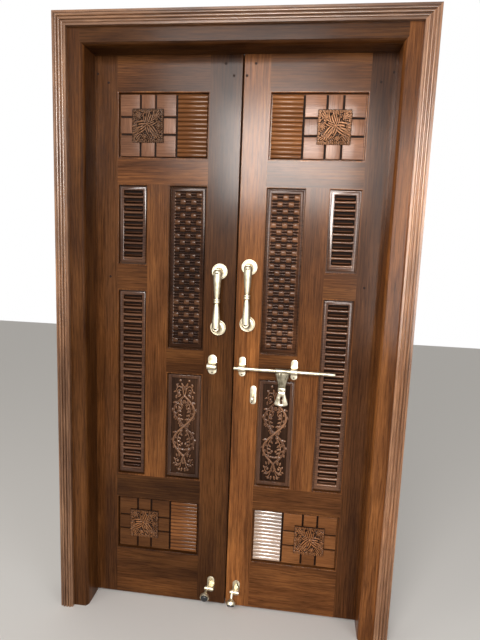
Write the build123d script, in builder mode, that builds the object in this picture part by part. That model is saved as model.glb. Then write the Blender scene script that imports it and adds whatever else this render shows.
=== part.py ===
from build123d import *

import math
import os

os.makedirs("parts", exist_ok=True)

# Carved two-leaf entrance door in its frame. All sizes are in millimetres.
# X runs to the right, Y into the doorway away from the carved face, Z up.
# The origin is on the floor in the middle of the footprint.
# Pieces that come in pairs are built for the right and mirrored for the left.

# Doorway and frame
opening_half_width = 508.0
soffit_height = 2020.0
frame_width = 75.0
reveal_depth = 95.0
rebate_width = 12.0
stop_gap = 1.0
frame_bead_width = 8.0
frame_bead_depth = 18.0
frame_bead_quirk = 1.5
frame_tenon_length = 34.0
frame_tenon_thickness = 24.0
frame_tenon_height = 36.0

# Architrave on the frame's face
architrave_width = 46.0
architrave_thickness = 18.0
architrave_setback = 54.0
architrave_edge = 7.0
reed_count = 3
reed_quirk = 2.2
reed_rise = 4.0
quirk_depth = 6.4

# Leaves
leaf_thickness = 38.0
edge_gap = 2.5
floor_gap = 8.0
meeting_line = 10.0
meeting_gap = 4.0
meeting_chamfer = 2.0

# Widths of the leaf framing and panels; the inner column takes what is left
inner_column_start = 105.5
muntin_width = 83.3
outer_column_width = 104.0
hinge_stile_width = 94.5

# Heights of the rails and panels; the weave and the short louvre take what is left
bottom_rail_height = 192.0
bottom_panel_height = 211.5
lower_rail_height = 97.3
scroll_height = 407.9
inner_cross_rail_height = 95.9
long_louvre_height = 708.1
outer_cross_rail_height = 95.4
upper_rail_height = 94.1
top_panel_height = 216.0
top_rail_height = 129.5

# Mouldings, grooves and joints of the leaf framing
moulding_width = 4.0
moulding_depth = 5.0
groove_front = 17.0
groove_thickness = 10.0
groove_depth = 9.0
tongue_clearance = 0.3
tenon_thickness = 13.0
tenon_shoulder = 18.0
tenon_length = 55.0
muntin_tenon_length = 34.0
tenon_clearance = 0.2

# Panel fields
channel_width = 5.0
field_depth = 7.0
border_width = 12.0

# Louvres: a thick nose and a thin bead to each slat
slat_pitch = 28.0
slat_floor_depth = 21.0
nose_height = 5.5
slat_back_depth = 17.0
slat_back_rise = 8.5
bead_rise = 10.0
bead_height = 3.6
bead_depth = 12.5
bead_end_gap = 4.0

# Woven panel: barrels in a chequer
weave_columns = 5
weave_row_pitch = 23.6
weave_floor_depth = 14.0
barrel_slope = 0.28
barrel_gap = 1.2

# Scroll panel: two crossing strands with curled ends and buds
scroll_floor_depth = 14.0
strand_width = 7.0
strand_border_gap = 11.0
strand_steps = 24
first_crossing = 0.21
last_crossing = 0.79
under_strand_drop = 1.8
crook_radius = 11.0
crook_offset = 19.0
crook_width = 5.0
crook_steps = 8
crook_start = 40.0
crook_sweep = 220.0
crook_places = (0.155, 0.845)
inner_crook_sweep = 230.0
inner_crook_places = (0.33, 0.62)
inner_crook_radius = 8.0
inner_crook_offset = 16.0
bud_radius = 5.5
bud_places = ((23.0, 0.18), (23.0, 0.82), (16.0, 0.07), (16.0, 0.925), (9.0, 0.54), (12.0, 0.46))

# Reeded and tiled panels with a carved square
reed_strip_width = 103.0
panel_reed_pitch = 14.5
panel_reed_rise = 3.2
reed_back_depth = 9.0
tile_groove = 7.0
tile_groove_depth = 6.0
middle_tile_width = 47.0
middle_tile_height = 51.0
rosette_size = 112.0
rosette_base = 4.0
petal_count = 5
petal_length = 31.0
petal_width = 25.0
petal_rise = 4.5
petal_bevel = 3.4
petal_start = 5.0
petal_widest = 0.45
petal_shoulder = 0.85
petal_shoulder_width = 19.0
corner_leaf_inset = 6.0
corner_leaf_length = 30.0
corner_leaf_width = 18.0
corner_leaf_widest = 0.6

# Butt hinges at the back of the leaf
hinge_from_leaf_end = 242.0
hinge_length = 100.0
hinge_leaf_width = 26.0
hinge_leaf_thickness = 2.0
hinge_recess = 1.0
knuckle_radius = 6.0
knuckle_count = 3
knuckle_gap = 0.4
knuckle_standoff = 0.4
hinge_pin_radius = 3.0
hinge_clearance = 0.05
pin_head_radius = 5.0
pin_head_height = 3.0

# Pull handles
left_handle_x = 50.0
left_handle_above_bolt = 241.3
right_handle_x = 55.4
right_handle_above_bolt = 260.4
handle_centres = 201.0
rose_radius = 28.5
rose_edge = 2.5
rose_height = 6.5
rose_neck_radius = 12.0
post_radius = 9.5
grip_standoff = 50.0
grip_end_radius = 12.8
grip_waist_radius = 6.8
grip_overrun = 9.0
grip_cap = 3.0
grip_barrel = 24.0
grip_barrel_taper = 1.0
collar_radius = 9.6
collar_height = 15.0

# Sliding bolt, its guides and the catch on the other leaf
bolt_height = 957.0
bolt_standoff = 20.0
bolt_radius = 6.25
bolt_start = 14.0
bolt_length = 360.0
bolt_end_chamfer = 1.0
guide_clearance = 0.08
guide_positions = (43.0, 230.0)
guide_width = 24.0
guide_length = 73.0
guide_rise = 3.5
strap_thickness = 2.5
saddle_radius = 11.0
catch_x = 67.0
catch_width = 32.0
catch_clearance = 1.0

# Hasp that hangs from the bolt, and the staple that it locks over
hasp_x = 190.0
hasp_sleeve_width = 53.0
hasp_sleeve_radius = 10.0
hasp_clearance = 0.05
hasp_thickness = 6.0
hasp_neck_width = 25.0
hasp_neck_drop = 60.0
hasp_flank_width = 33.0
hasp_flank_drop = 27.0
hasp_bell_hollow = 2.0
hasp_collar_height = 14.0
hasp_collar_width = 28.0
hasp_collar_thickness = 10.0
hasp_bell_width = 49.0
hasp_bell_drop = 122.0
hasp_tip_drop = 129.0
hasp_slot_width = 8.0
hasp_slot_length = 30.0
hasp_slot_drop = 106.0
staple_x = 87.0
staple_width = 22.0
staple_length = 69.0
staple_rise = 6.5
staple_lug_thickness = 5.5
staple_lug_height = 24.0
staple_eye_standoff = 29.0
staple_nose_radius = 9.0
staple_eye_radius = 4.5

# Door stoppers with a folding leg
stopper_plate_width = 27.0
stopper_plate_length = 63.0
stopper_plate_thickness = 3.0
left_stopper_x = -47.7
left_stopper_height = 86.4
right_stopper_x = 51.9
right_stopper_height = 82.5
stopper_boss_width = 20.0
stopper_boss_shift = 3.0
stopper_boss_radius = 8.0
stopper_pivot_standoff = 21.0
stopper_pivot_drop = 6.0
stopper_pin_radius = 3.5
stopper_clearance = 0.06
stopper_side_gap = 0.4
stopper_hub_radius = 8.0
stopper_hub_width = 11.0
stopper_cap_radius = 5.5
stopper_cap_thickness = 2.0
stopper_leg_radius = 5.0
stopper_bell_start = 22.0
stopper_bell_end = 44.0
stopper_bell_radius = 17.0
stopper_bell_flare = 12.0
stopper_rubber_radius = 13.5
stopper_rubber_end = 50.0
stopper_rubber_bevel = 2.0
stopper_socket_depth = 6.0
left_leg_angle = 15.0
right_leg_angle = 50.0

# Places that follow from the sizes above
left_handle_height = bolt_height + left_handle_above_bolt
right_handle_height = bolt_height + right_handle_above_bolt
frame_depth = reveal_depth + stop_gap + leaf_thickness
pin_offset = knuckle_radius + knuckle_standoff
total_depth = architrave_thickness + frame_depth + pin_offset + knuckle_radius
frame_front = architrave_thickness - total_depth / 2
frame_back = frame_front + frame_depth
leaf_front = frame_front + reveal_depth + stop_gap
leaf_back = leaf_front + leaf_thickness
frame_top = soffit_height + frame_width
rebate_face = opening_half_width + rebate_width
leaf_edge = rebate_face - edge_gap
leaf_bottom = floor_gap
leaf_top = soffit_height + rebate_width - edge_gap
outer_column_end = leaf_edge - hinge_stile_width
muntin_end = outer_column_end - outer_column_width
muntin_start = muntin_end - muntin_width
bottom_panel_bottom = leaf_bottom + bottom_rail_height
bottom_panel_top = bottom_panel_bottom + bottom_panel_height
lower_rail_top = bottom_panel_top + lower_rail_height
scroll_top = lower_rail_top + scroll_height
weave_bottom = scroll_top + inner_cross_rail_height
long_louvre_top = lower_rail_top + long_louvre_height
short_louvre_bottom = long_louvre_top + outer_cross_rail_height
top_panel_top = leaf_top - top_rail_height
top_panel_bottom = top_panel_top - top_panel_height
upper_rail_bottom = top_panel_bottom - upper_rail_height
lowest_hinge = leaf_bottom + hinge_from_leaf_end
highest_hinge = leaf_top - hinge_from_leaf_end
hinge_heights = (lowest_hinge, (lowest_hinge + highest_hinge) / 2, highest_hinge)
architrave_inner = opening_half_width + architrave_setback
architrave_sill = soffit_height + architrave_setback
pin_x = rebate_face - edge_gap / 2
pin_y = leaf_back + pin_offset
spare = 1.0


def finish(piece, name):
    """Label a finished piece and write it under its node's name."""
    piece.part.label = name
    export_step(piece.part, f"parts/{name}.step")


def block(low, high):
    """A plain block between two opposite corners."""
    with BuildPart() as made:
        with Locations((Vector(*low) + Vector(*high)) / 2):
            Box(*(Vector(*high) - Vector(*low)))
    return made.part


def carved_plane(depth, x=0.0, z=0.0):
    """Upright plane facing the viewer, a depth behind the leaf's carved face."""
    return Plane(origin=(x, leaf_front + depth, z), x_dir=(1, 0, 0), z_dir=(0, -1, 0))


def side_plane(x, z=0.0):
    """Upright plane seen from the right: first the depth behind the carved face, then the height."""
    return Plane(origin=(x, leaf_front, z), x_dir=(0, 1, 0), z_dir=(1, 0, 0))


def rectangle(x0, x1, z0, z1):
    """Corner points of an upright rectangle."""
    return [(x0, z0), (x1, z0), (x1, z1), (x0, z1)]


def slab(outline, near, far):
    """A board of the given upright outline, between two depths behind the carved face."""
    with BuildPart() as made:
        with BuildSketch(carved_plane(far)):
            with BuildLine():
                Polyline(*outline, close=True)
            make_face()
        extrude(amount=far - near)
    return made.part


def tube_between(start, end, radius):
    """A round bar between two points."""
    along = Vector(*end) - Vector(*start)
    with BuildPart() as made:
        with BuildSketch(Plane(origin=start, z_dir=along)):
            Circle(radius)
        extrude(amount=along.length)
    return made.part


def put_on_side(piece, side):
    """The piece itself for the right-hand side, or its mirror image for the left."""
    with BuildPart() as placed:
        if side == "right":
            add(piece)
        else:
            add(mirror(piece, about=Plane.YZ))
    return placed


# Frame of two jambs and a head


def frame_section():
    """Section of the frame: distance out from the opening, then distance behind its face."""
    with BuildSketch() as section:
        with BuildLine():
            Polyline(
                (0, frame_bead_depth),
                (0, reveal_depth),
                (rebate_width, reveal_depth),
                (rebate_width, frame_depth),
                (frame_width, frame_depth),
                (frame_width, 0),
                (frame_bead_width, 0),
                (frame_bead_width, frame_bead_quirk),
            )
            TangentArc((0, frame_bead_depth), (frame_bead_width, frame_bead_quirk), tangent=(0, -1))
        make_face()
    return section.sketch


def head_region():
    """Everything that belongs to the head, with its mitred corners, as seen from the front."""
    low = opening_half_width - spare
    outline = [
        (-low, soffit_height - spare),
        (low, soffit_height - spare),
        (rebate_face, soffit_height + rebate_width),
        (rebate_face, frame_top + spare),
        (-rebate_face, frame_top + spare),
        (-rebate_face, soffit_height + rebate_width),
    ]
    return slab(outline, frame_front - leaf_front - spare, leaf_thickness + spare)


def head_tenon(clearance):
    """Tenon on the right-hand end of the head, or its mortise when given a clearance."""
    middle_y = (frame_front + frame_back) / 2
    middle_z = (soffit_height + rebate_width + frame_top) / 2
    half_thickness = frame_tenon_thickness / 2 + clearance
    half_height = frame_tenon_height / 2 + clearance
    return block(
        (rebate_face - spare, middle_y - half_thickness, middle_z - half_height),
        (rebate_face + frame_tenon_length + clearance, middle_y + half_thickness, middle_z + half_height),
    )


def frame_hinge_pocket(height):
    """Recess in the rebate for the fixed plate of one hinge."""
    return block(
        (rebate_face - spare, leaf_back - hinge_leaf_width, height - hinge_length / 2),
        (rebate_face + hinge_recess, leaf_back + spare, height + hinge_length / 2),
    )


with BuildPart() as jamb:
    with BuildSketch(Plane(origin=(opening_half_width, frame_front, 0), x_dir=(1, 0, 0), z_dir=(0, 0, 1))):
        add(frame_section())
    extrude(amount=frame_top)
    add(head_region(), mode=Mode.SUBTRACT)
    add(head_tenon(tenon_clearance), mode=Mode.SUBTRACT)
    for hinge_height in hinge_heights:
        add(frame_hinge_pocket(hinge_height), mode=Mode.SUBTRACT)

for side in ("left", "right"):
    finish(put_on_side(jamb.part, side), f"jamb_{side}")

with BuildPart() as head:
    head_end = Plane(origin=(rebate_face, frame_front, soffit_height), x_dir=(0, 0, 1), z_dir=(-1, 0, 0))
    with BuildSketch(head_end):
        add(frame_section())
    extrude(amount=2 * rebate_face)
    add(head_region(), mode=Mode.INTERSECT)
    add(head_tenon(0))
    add(mirror(head_tenon(0), about=Plane.YZ))
finish(head, "head")


# Architrave: three reeds between flat edges, mitred at the top corners


def architrave_section():
    """Section of the moulding: distance out from its inner edge, then distance back from its face."""
    pitch = (architrave_width - 2 * architrave_edge) / reed_count
    with BuildSketch() as section:
        with BuildLine():
            Polyline(
                (architrave_width, reed_rise),
                (architrave_width, architrave_thickness),
                (0, architrave_thickness),
                (0, reed_rise),
                (architrave_edge, reed_rise),
            )
            for reed in range(reed_count):
                start = architrave_edge + reed * pitch
                end = start + pitch - reed_quirk
                ThreePointArc((start, reed_rise), ((start + end) / 2, 0), (end, reed_rise))
                Polyline(
                    (end, reed_rise),
                    (end, quirk_depth),
                    (start + pitch, quirk_depth),
                    (start + pitch, reed_rise),
                )
            Line((architrave_width - architrave_edge, reed_rise), (architrave_width, reed_rise))
        make_face()
    return section.sketch


def architrave_top_region():
    """Everything above the two mitres of the top corners, as seen from the front."""
    reach = architrave_width + spare
    outline = [
        (-architrave_inner + spare, architrave_sill - spare),
        (architrave_inner - spare, architrave_sill - spare),
        (architrave_inner + reach, architrave_sill + reach),
        (-architrave_inner - reach, architrave_sill + reach),
    ]
    front = frame_front - architrave_thickness - leaf_front
    return slab(outline, front - spare, front + architrave_thickness + spare)


moulding_face = frame_front - architrave_thickness
with BuildPart() as architrave_leg:
    with BuildSketch(Plane(origin=(architrave_inner, moulding_face, 0), x_dir=(1, 0, 0), z_dir=(0, 0, 1))):
        add(architrave_section())
    extrude(amount=architrave_sill + architrave_width)
    add(architrave_top_region(), mode=Mode.SUBTRACT)

for side in ("left", "right"):
    finish(put_on_side(architrave_leg.part, side), f"architrave_{side}")

with BuildPart() as architrave_top:
    half_length = architrave_inner + architrave_width
    top_end = Plane(origin=(half_length, moulding_face, architrave_sill), x_dir=(0, 0, 1), z_dir=(-1, 0, 0))
    with BuildSketch(top_end):
        add(architrave_section())
    extrude(amount=2 * half_length)
    add(architrave_top_region(), mode=Mode.INTERSECT)
finish(architrave_top, "architrave_top")


# Butt hinges: plates in the gap between leaf and jamb, knuckles behind the leaf


def hinge_half(height, on_frame, bore_radius):
    """One hinge plate with its share of the knuckles, for the right-hand side."""
    pitch = hinge_length / knuckle_count
    bottom = height - hinge_length / 2
    if on_frame:
        plate_outer = rebate_face + hinge_recess
        plate_inner = plate_outer - hinge_leaf_thickness
    else:
        plate_inner = leaf_edge - hinge_recess
        plate_outer = plate_inner + hinge_leaf_thickness
    first = 0 if on_frame else 1
    top = bottom + hinge_length
    with BuildPart() as plate:
        add(block((plate_inner, leaf_back - hinge_leaf_width, bottom), (plate_outer, leaf_back, top)))
        for knuckle in range(first, knuckle_count, 2):
            low = bottom + knuckle * pitch + knuckle_gap / 2
            high = low + pitch - knuckle_gap
            add(block((plate_inner, leaf_back - spare, low), (plate_outer, pin_y, high)))
            add(tube_between((pin_x, pin_y, low), (pin_x, pin_y, high), knuckle_radius))
        bore = tube_between((pin_x, pin_y, bottom - spare), (pin_x, pin_y, top + spare), bore_radius)
        add(bore, mode=Mode.SUBTRACT)
    return plate.part


def hinge_pin(height):
    """The loose pin of one hinge, which hangs by its head."""
    reach = hinge_length / 2 - knuckle_gap / 2
    head_top = height + reach + pin_head_height
    with BuildPart() as pin:
        add(tube_between((pin_x, pin_y, height - reach), (pin_x, pin_y, height + reach), hinge_pin_radius))
        add(tube_between((pin_x, pin_y, height + reach), (pin_x, pin_y, head_top), pin_head_radius))
    return pin.part


with BuildPart() as hinge_plates_frame:
    for hinge_height in hinge_heights:
        fixed = hinge_half(hinge_height, True, hinge_pin_radius)
        add(fixed)
        add(mirror(fixed, about=Plane.YZ))
finish(hinge_plates_frame, "hinge_plates_frame")

with BuildPart() as hinge_pins:
    for hinge_height in hinge_heights:
        pin = hinge_pin(hinge_height)
        add(pin)
        add(mirror(pin, about=Plane.YZ))
finish(hinge_pins, "hinge_pins")

with BuildPart() as moving_plates:
    for hinge_height in hinge_heights:
        add(hinge_half(hinge_height, False, hinge_pin_radius + hinge_clearance))

for side in ("left", "right"):
    finish(put_on_side(moving_plates.part, side), f"{side}_hinge_plates")


# Leaf framing

openings = {
    "top_panel": (inner_column_start, outer_column_end, top_panel_bottom, top_panel_top),
    "short_louvre": (muntin_end, outer_column_end, short_louvre_bottom, upper_rail_bottom),
    "long_louvre": (muntin_end, outer_column_end, lower_rail_top, long_louvre_top),
    "weave_panel": (inner_column_start, muntin_start, weave_bottom, upper_rail_bottom),
    "scroll_panel": (inner_column_start, muntin_start, lower_rail_top, scroll_top),
    "bottom_panel": (inner_column_start, outer_column_end, bottom_panel_bottom, bottom_panel_top),
}

# Rails: extent in X and Z, then whether the lower and upper edges carry a moulding
rails = {
    "top_rail": (inner_column_start, outer_column_end, top_panel_top, leaf_top, True, False),
    "upper_rail": (inner_column_start, outer_column_end, upper_rail_bottom, top_panel_bottom, True, True),
    "lower_rail": (inner_column_start, outer_column_end, bottom_panel_top, lower_rail_top, True, True),
    "bottom_rail": (inner_column_start, outer_column_end, leaf_bottom, bottom_panel_bottom, False, True),
    "outer_cross_rail": (muntin_end, outer_column_end, long_louvre_top, short_louvre_bottom, True, True),
    "inner_cross_rail": (inner_column_start, muntin_start, scroll_top, weave_bottom, True, True),
}


def tenon_depths(clearance):
    """Front and back of a tenon in the middle of the leaf's thickness."""
    near = (leaf_thickness - tenon_thickness) / 2 - clearance
    return near, leaf_thickness - near


def rail_end(rail, direction, length, clearance):
    """Mitred shoulder and tenon at one end of a rail, or the socket cut for it."""
    x0, x1, z0, z1, low_moulding, high_moulding = rails[rail]
    edge = x1 if direction > 0 else x0
    tip = edge + direction * moulding_width
    low = z0 + (moulding_width if low_moulding else 0)
    high = z1 - (moulding_width if high_moulding else 0)
    shoulder = [(edge, z0), (tip, low), (tip, high), (edge, z1)]
    tenon_end = edge + direction * (length + clearance)
    tenon = rectangle(
        min(edge, tenon_end),
        max(edge, tenon_end),
        z0 + tenon_shoulder - clearance,
        z1 - tenon_shoulder + clearance,
    )
    with BuildPart() as end:
        add(slab(shoulder, 0, leaf_thickness))
        add(slab(tenon, *tenon_depths(clearance)))
    return end.part


def muntin_end_piece(direction, clearance):
    """Mitred shoulder and tenon at the top or foot of the muntin, or the socket cut for it."""
    edge = upper_rail_bottom if direction > 0 else lower_rail_top
    tip = edge + direction * moulding_width
    shoulder = [
        (muntin_start, edge),
        (muntin_start + moulding_width, tip),
        (muntin_end - moulding_width, tip),
        (muntin_end, edge),
    ]
    tenon_end = edge + direction * (muntin_tenon_length + clearance)
    tenon = rectangle(
        muntin_start + tenon_shoulder - clearance,
        muntin_end - tenon_shoulder + clearance,
        min(edge, tenon_end),
        max(edge, tenon_end),
    )
    with BuildPart() as end:
        add(slab(shoulder, 0, leaf_thickness))
        add(slab(tenon, *tenon_depths(clearance)))
    return end.part


def opening_cutter(opening):
    """The moulded bevel and the panel groove round one opening."""
    x0, x1, z0, z1 = opening
    middle = ((x0 + x1) / 2, (z0 + z1) / 2)
    with BuildPart() as cutter:
        with BuildSketch(carved_plane(0)):
            with Locations(middle):
                Rectangle(x1 - x0 + 2 * moulding_width, z1 - z0 + 2 * moulding_width)
        with BuildSketch(carved_plane(moulding_depth)):
            with Locations(middle):
                Rectangle(x1 - x0, z1 - z0)
        loft()
        groove = rectangle(x0 - groove_depth, x1 + groove_depth, z0 - groove_depth, z1 + groove_depth)
        add(slab(groove, groove_front, groove_front + groove_thickness))
    return cutter.part


cutters = {name: opening_cutter(opening) for name, opening in openings.items()}
tenon_lengths = {
    "top_rail": (tenon_length, tenon_length),
    "upper_rail": (tenon_length, tenon_length),
    "lower_rail": (tenon_length, tenon_length),
    "bottom_rail": (tenon_length, tenon_length),
    "outer_cross_rail": (muntin_tenon_length, tenon_length),
    "inner_cross_rail": (tenon_length, muntin_tenon_length),
}


def make_rail(rail, bordering):
    """One rail with its mitred shoulders and tenons."""
    x0, x1, z0, z1 = rails[rail][:4]
    with BuildPart() as made:
        add(slab(rectangle(x0, x1, z0, z1), 0, leaf_thickness))
        for direction, length in zip((-1, 1), tenon_lengths[rail]):
            add(rail_end(rail, direction, length, 0))
        for name in bordering:
            add(cutters[name], mode=Mode.SUBTRACT)
        if rail == "upper_rail":
            add(muntin_end_piece(1, tenon_clearance), mode=Mode.SUBTRACT)
        if rail == "lower_rail":
            add(muntin_end_piece(-1, tenon_clearance), mode=Mode.SUBTRACT)
    return made.part


def make_muntin():
    """The upright between the two columns of panels."""
    with BuildPart() as made:
        add(slab(rectangle(muntin_start, muntin_end, lower_rail_top, upper_rail_bottom), 0, leaf_thickness))
        add(muntin_end_piece(1, 0))
        add(muntin_end_piece(-1, 0))
        add(rail_end("outer_cross_rail", -1, muntin_tenon_length, tenon_clearance), mode=Mode.SUBTRACT)
        add(rail_end("inner_cross_rail", 1, muntin_tenon_length, tenon_clearance), mode=Mode.SUBTRACT)
        for name in ("short_louvre", "long_louvre", "weave_panel", "scroll_panel"):
            add(cutters[name], mode=Mode.SUBTRACT)
    return made.part


def make_hinge_stile():
    """The outer upright of a leaf, which carries the hinges."""
    with BuildPart() as made:
        add(slab(rectangle(outer_column_end, leaf_edge, leaf_bottom, leaf_top), 0, leaf_thickness))
        for rail in ("top_rail", "upper_rail", "lower_rail", "bottom_rail", "outer_cross_rail"):
            add(rail_end(rail, 1, tenon_length, tenon_clearance), mode=Mode.SUBTRACT)
        for name in ("top_panel", "short_louvre", "long_louvre", "bottom_panel"):
            add(cutters[name], mode=Mode.SUBTRACT)
        for hinge_height in hinge_heights:
            pocket = block(
                (leaf_edge - hinge_recess, leaf_back - hinge_leaf_width, hinge_height - hinge_length / 2),
                (leaf_edge + spare, leaf_back + spare, hinge_height + hinge_length / 2),
            )
            add(pocket, mode=Mode.SUBTRACT)
    return made.part


def make_meeting_stile(meeting_edge):
    """The upright at the meeting line; its free edge differs between the leaves."""
    outline = rectangle(meeting_edge, inner_column_start, leaf_bottom, leaf_top)
    with BuildPart() as made:
        add(slab(outline, 0, leaf_thickness))
        front_edges = made.edges().filter_by(Axis.Z).group_by(Axis.Y)[0]
        chamfer(front_edges.sort_by(Axis.X)[0], meeting_chamfer)
        for rail in ("top_rail", "upper_rail", "lower_rail", "bottom_rail", "inner_cross_rail"):
            add(rail_end(rail, -1, tenon_length, tenon_clearance), mode=Mode.SUBTRACT)
        for name in ("top_panel", "weave_panel", "scroll_panel", "bottom_panel"):
            add(cutters[name], mode=Mode.SUBTRACT)
    return made.part


bordering_openings = {
    "top_rail": ("top_panel",),
    "upper_rail": ("top_panel", "short_louvre", "weave_panel"),
    "lower_rail": ("bottom_panel", "long_louvre", "scroll_panel"),
    "bottom_rail": ("bottom_panel",),
    "outer_cross_rail": ("short_louvre", "long_louvre"),
    "inner_cross_rail": ("weave_panel", "scroll_panel"),
}
right_hand_pieces = {rail: make_rail(rail, names) for rail, names in bordering_openings.items()}
right_hand_pieces["muntin"] = make_muntin()
right_hand_pieces["hinge_stile"] = make_hinge_stile()


# Panels


def inset(opening, amount):
    """The opening's rectangle drawn in on all four sides."""
    x0, x1, z0, z1 = opening
    return x0 + amount, x1 - amount, z0 + amount, z1 - amount


def panel_blank(opening):
    """Tongued board with a raised field that leaves a dark channel all round."""
    tongue = rectangle(*inset(opening, tongue_clearance - groove_depth))
    tongue_front = groove_front + tongue_clearance
    tongue_back = groove_front + groove_thickness - tongue_clearance
    field = rectangle(*inset(opening, channel_width))
    with BuildPart() as board:
        add(slab(tongue, tongue_front, tongue_back))
        add(slab(field, field_depth, tongue_front + spare))
    return board.part


def bordered_blank(opening, floor_depth):
    """Panel board sunk inside a plain border, down to a floor for the carving."""
    with BuildPart() as board:
        add(panel_blank(opening))
        sunk = rectangle(*inset(opening, channel_width + border_width))
        add(slab(sunk, field_depth - spare, floor_depth), mode=Mode.SUBTRACT)
    return board.part


def louvre_panel(opening):
    """Slats with a thick nose and a thin bead set back above it."""
    x0, x1, z0, z1 = inset(opening, channel_width + border_width)
    slat_count = round((z1 - z0) / slat_pitch)
    pitch = (z1 - z0) / slat_count
    with BuildPart() as panel:
        add(bordered_blank(opening, slat_floor_depth))
        with BuildSketch(side_plane(x0)):
            for slat in range(slat_count):
                z = z0 + slat * pitch
                with BuildLine():
                    Polyline(
                        (slat_floor_depth, z),
                        (field_depth, z),
                        (field_depth, z + nose_height),
                        (slat_back_depth, z + slat_back_rise),
                        (slat_floor_depth, z + slat_back_rise),
                        close=True,
                    )
                make_face()
        extrude(amount=x1 - x0)
        with BuildSketch(side_plane(x0 + bead_end_gap)):
            for slat in range(slat_count):
                z = z0 + slat * pitch + bead_rise + bead_height / 2
                with Locations(((bead_depth + slat_floor_depth) / 2, z)):
                    Rectangle(slat_floor_depth - bead_depth, bead_height)
        extrude(amount=x1 - x0 - 2 * bead_end_gap)
    return panel.part


def weave_panel(opening):
    """Barrels lying across the panel in a chequer, like a close basket weave."""
    x0, x1, z0, z1 = inset(opening, channel_width + border_width)
    column_pitch = (x1 - x0) / weave_columns
    row_count = round((z1 - z0) / weave_row_pitch)
    row_pitch = (z1 - z0) / row_count
    with BuildPart() as panel:
        add(bordered_blank(opening, weave_floor_depth))
        for column in range(weave_columns):
            with BuildSketch(side_plane(x0 + column * column_pitch + barrel_gap / 2)):
                for row in range(column % 2, row_count, 2):
                    low = z0 + row * row_pitch + barrel_gap / 2
                    high = low + row_pitch - barrel_gap
                    shoulder = barrel_slope * row_pitch
                    with BuildLine():
                        Polyline(
                            (weave_floor_depth, low),
                            (field_depth, low + shoulder),
                            (field_depth, high - shoulder),
                            (weave_floor_depth, high),
                            close=True,
                        )
                    make_face()
            extrude(amount=column_pitch - barrel_gap)
    return panel.part


def ribbon(points, width):
    """Outline of a band of constant width along a row of points."""
    left = []
    right = []
    for index, (x, z) in enumerate(points):
        before = points[max(index - 1, 0)]
        after = points[min(index + 1, len(points) - 1)]
        run = math.hypot(after[0] - before[0], after[1] - before[1])
        across_x = (after[1] - before[1]) / run * width / 2
        across_z = -(after[0] - before[0]) / run * width / 2
        left.append((x + across_x, z + across_z))
        right.append((x - across_x, z - across_z))
    return left + right[::-1]


def arc_points(middle_x, middle_z, radius, start, sweep, steps):
    """Points along a round stretch, with angles in degrees."""
    angles = [math.radians(start + sweep * step / steps) for step in range(steps + 1)]
    return [(middle_x + radius * math.cos(a), middle_z + radius * math.sin(a)) for a in angles]


def scroll_panel(opening):
    """Two strands that cross at the top, the middle and the foot, with crooks and buds."""
    x0, x1, z0, z1 = opening
    middle_x = (x0 + x1) / 2
    height = z1 - z0
    strand_swing = (x1 - x0) / 2 - channel_width - border_width - strand_border_gap

    def level(share):
        """Height of a place given as a share of the panel, from the top."""
        return z1 - share * height

    half_wave = (last_crossing - first_crossing) / 2
    with BuildPart() as panel:
        add(bordered_blank(opening, scroll_floor_depth))
        for hand, top in ((1, field_depth), (-1, field_depth + under_strand_drop)):
            strand = []
            for step in range(strand_steps + 1):
                share = first_crossing + (last_crossing - first_crossing) * step / strand_steps
                swing = hand * strand_swing * math.sin(math.pi * (share - first_crossing) / half_wave)
                strand.append((middle_x + swing, level(share)))
            add(slab(ribbon(strand, strand_width), top, scroll_floor_depth + spare))
            for upward, share in zip((1, -1), crook_places):
                crook = arc_points(
                    middle_x + hand * crook_offset,
                    level(share),
                    crook_radius,
                    90 - hand * 90 + 180 - hand * upward * crook_start,
                    -hand * upward * crook_sweep,
                    crook_steps,
                )
                stem = (middle_x, level(first_crossing if upward > 0 else last_crossing))
                add(slab(ribbon([stem] + crook, crook_width), top, scroll_floor_depth + spare))
            for upward, share in zip((1, -1), inner_crook_places):
                crook = arc_points(
                    middle_x + hand * inner_crook_offset,
                    level(share),
                    inner_crook_radius,
                    90 - hand * 90,
                    hand * upward * inner_crook_sweep,
                    crook_steps,
                )
                add(slab(ribbon(crook, crook_width), top + under_strand_drop, scroll_floor_depth + spare))
            with BuildSketch(carved_plane(scroll_floor_depth + spare)):
                with Locations([(middle_x + hand * offset, level(share)) for offset, share in bud_places]):
                    RegularPolygon(bud_radius, 8)
            extrude(amount=scroll_floor_depth + spare - field_depth)
    return panel.part


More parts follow.
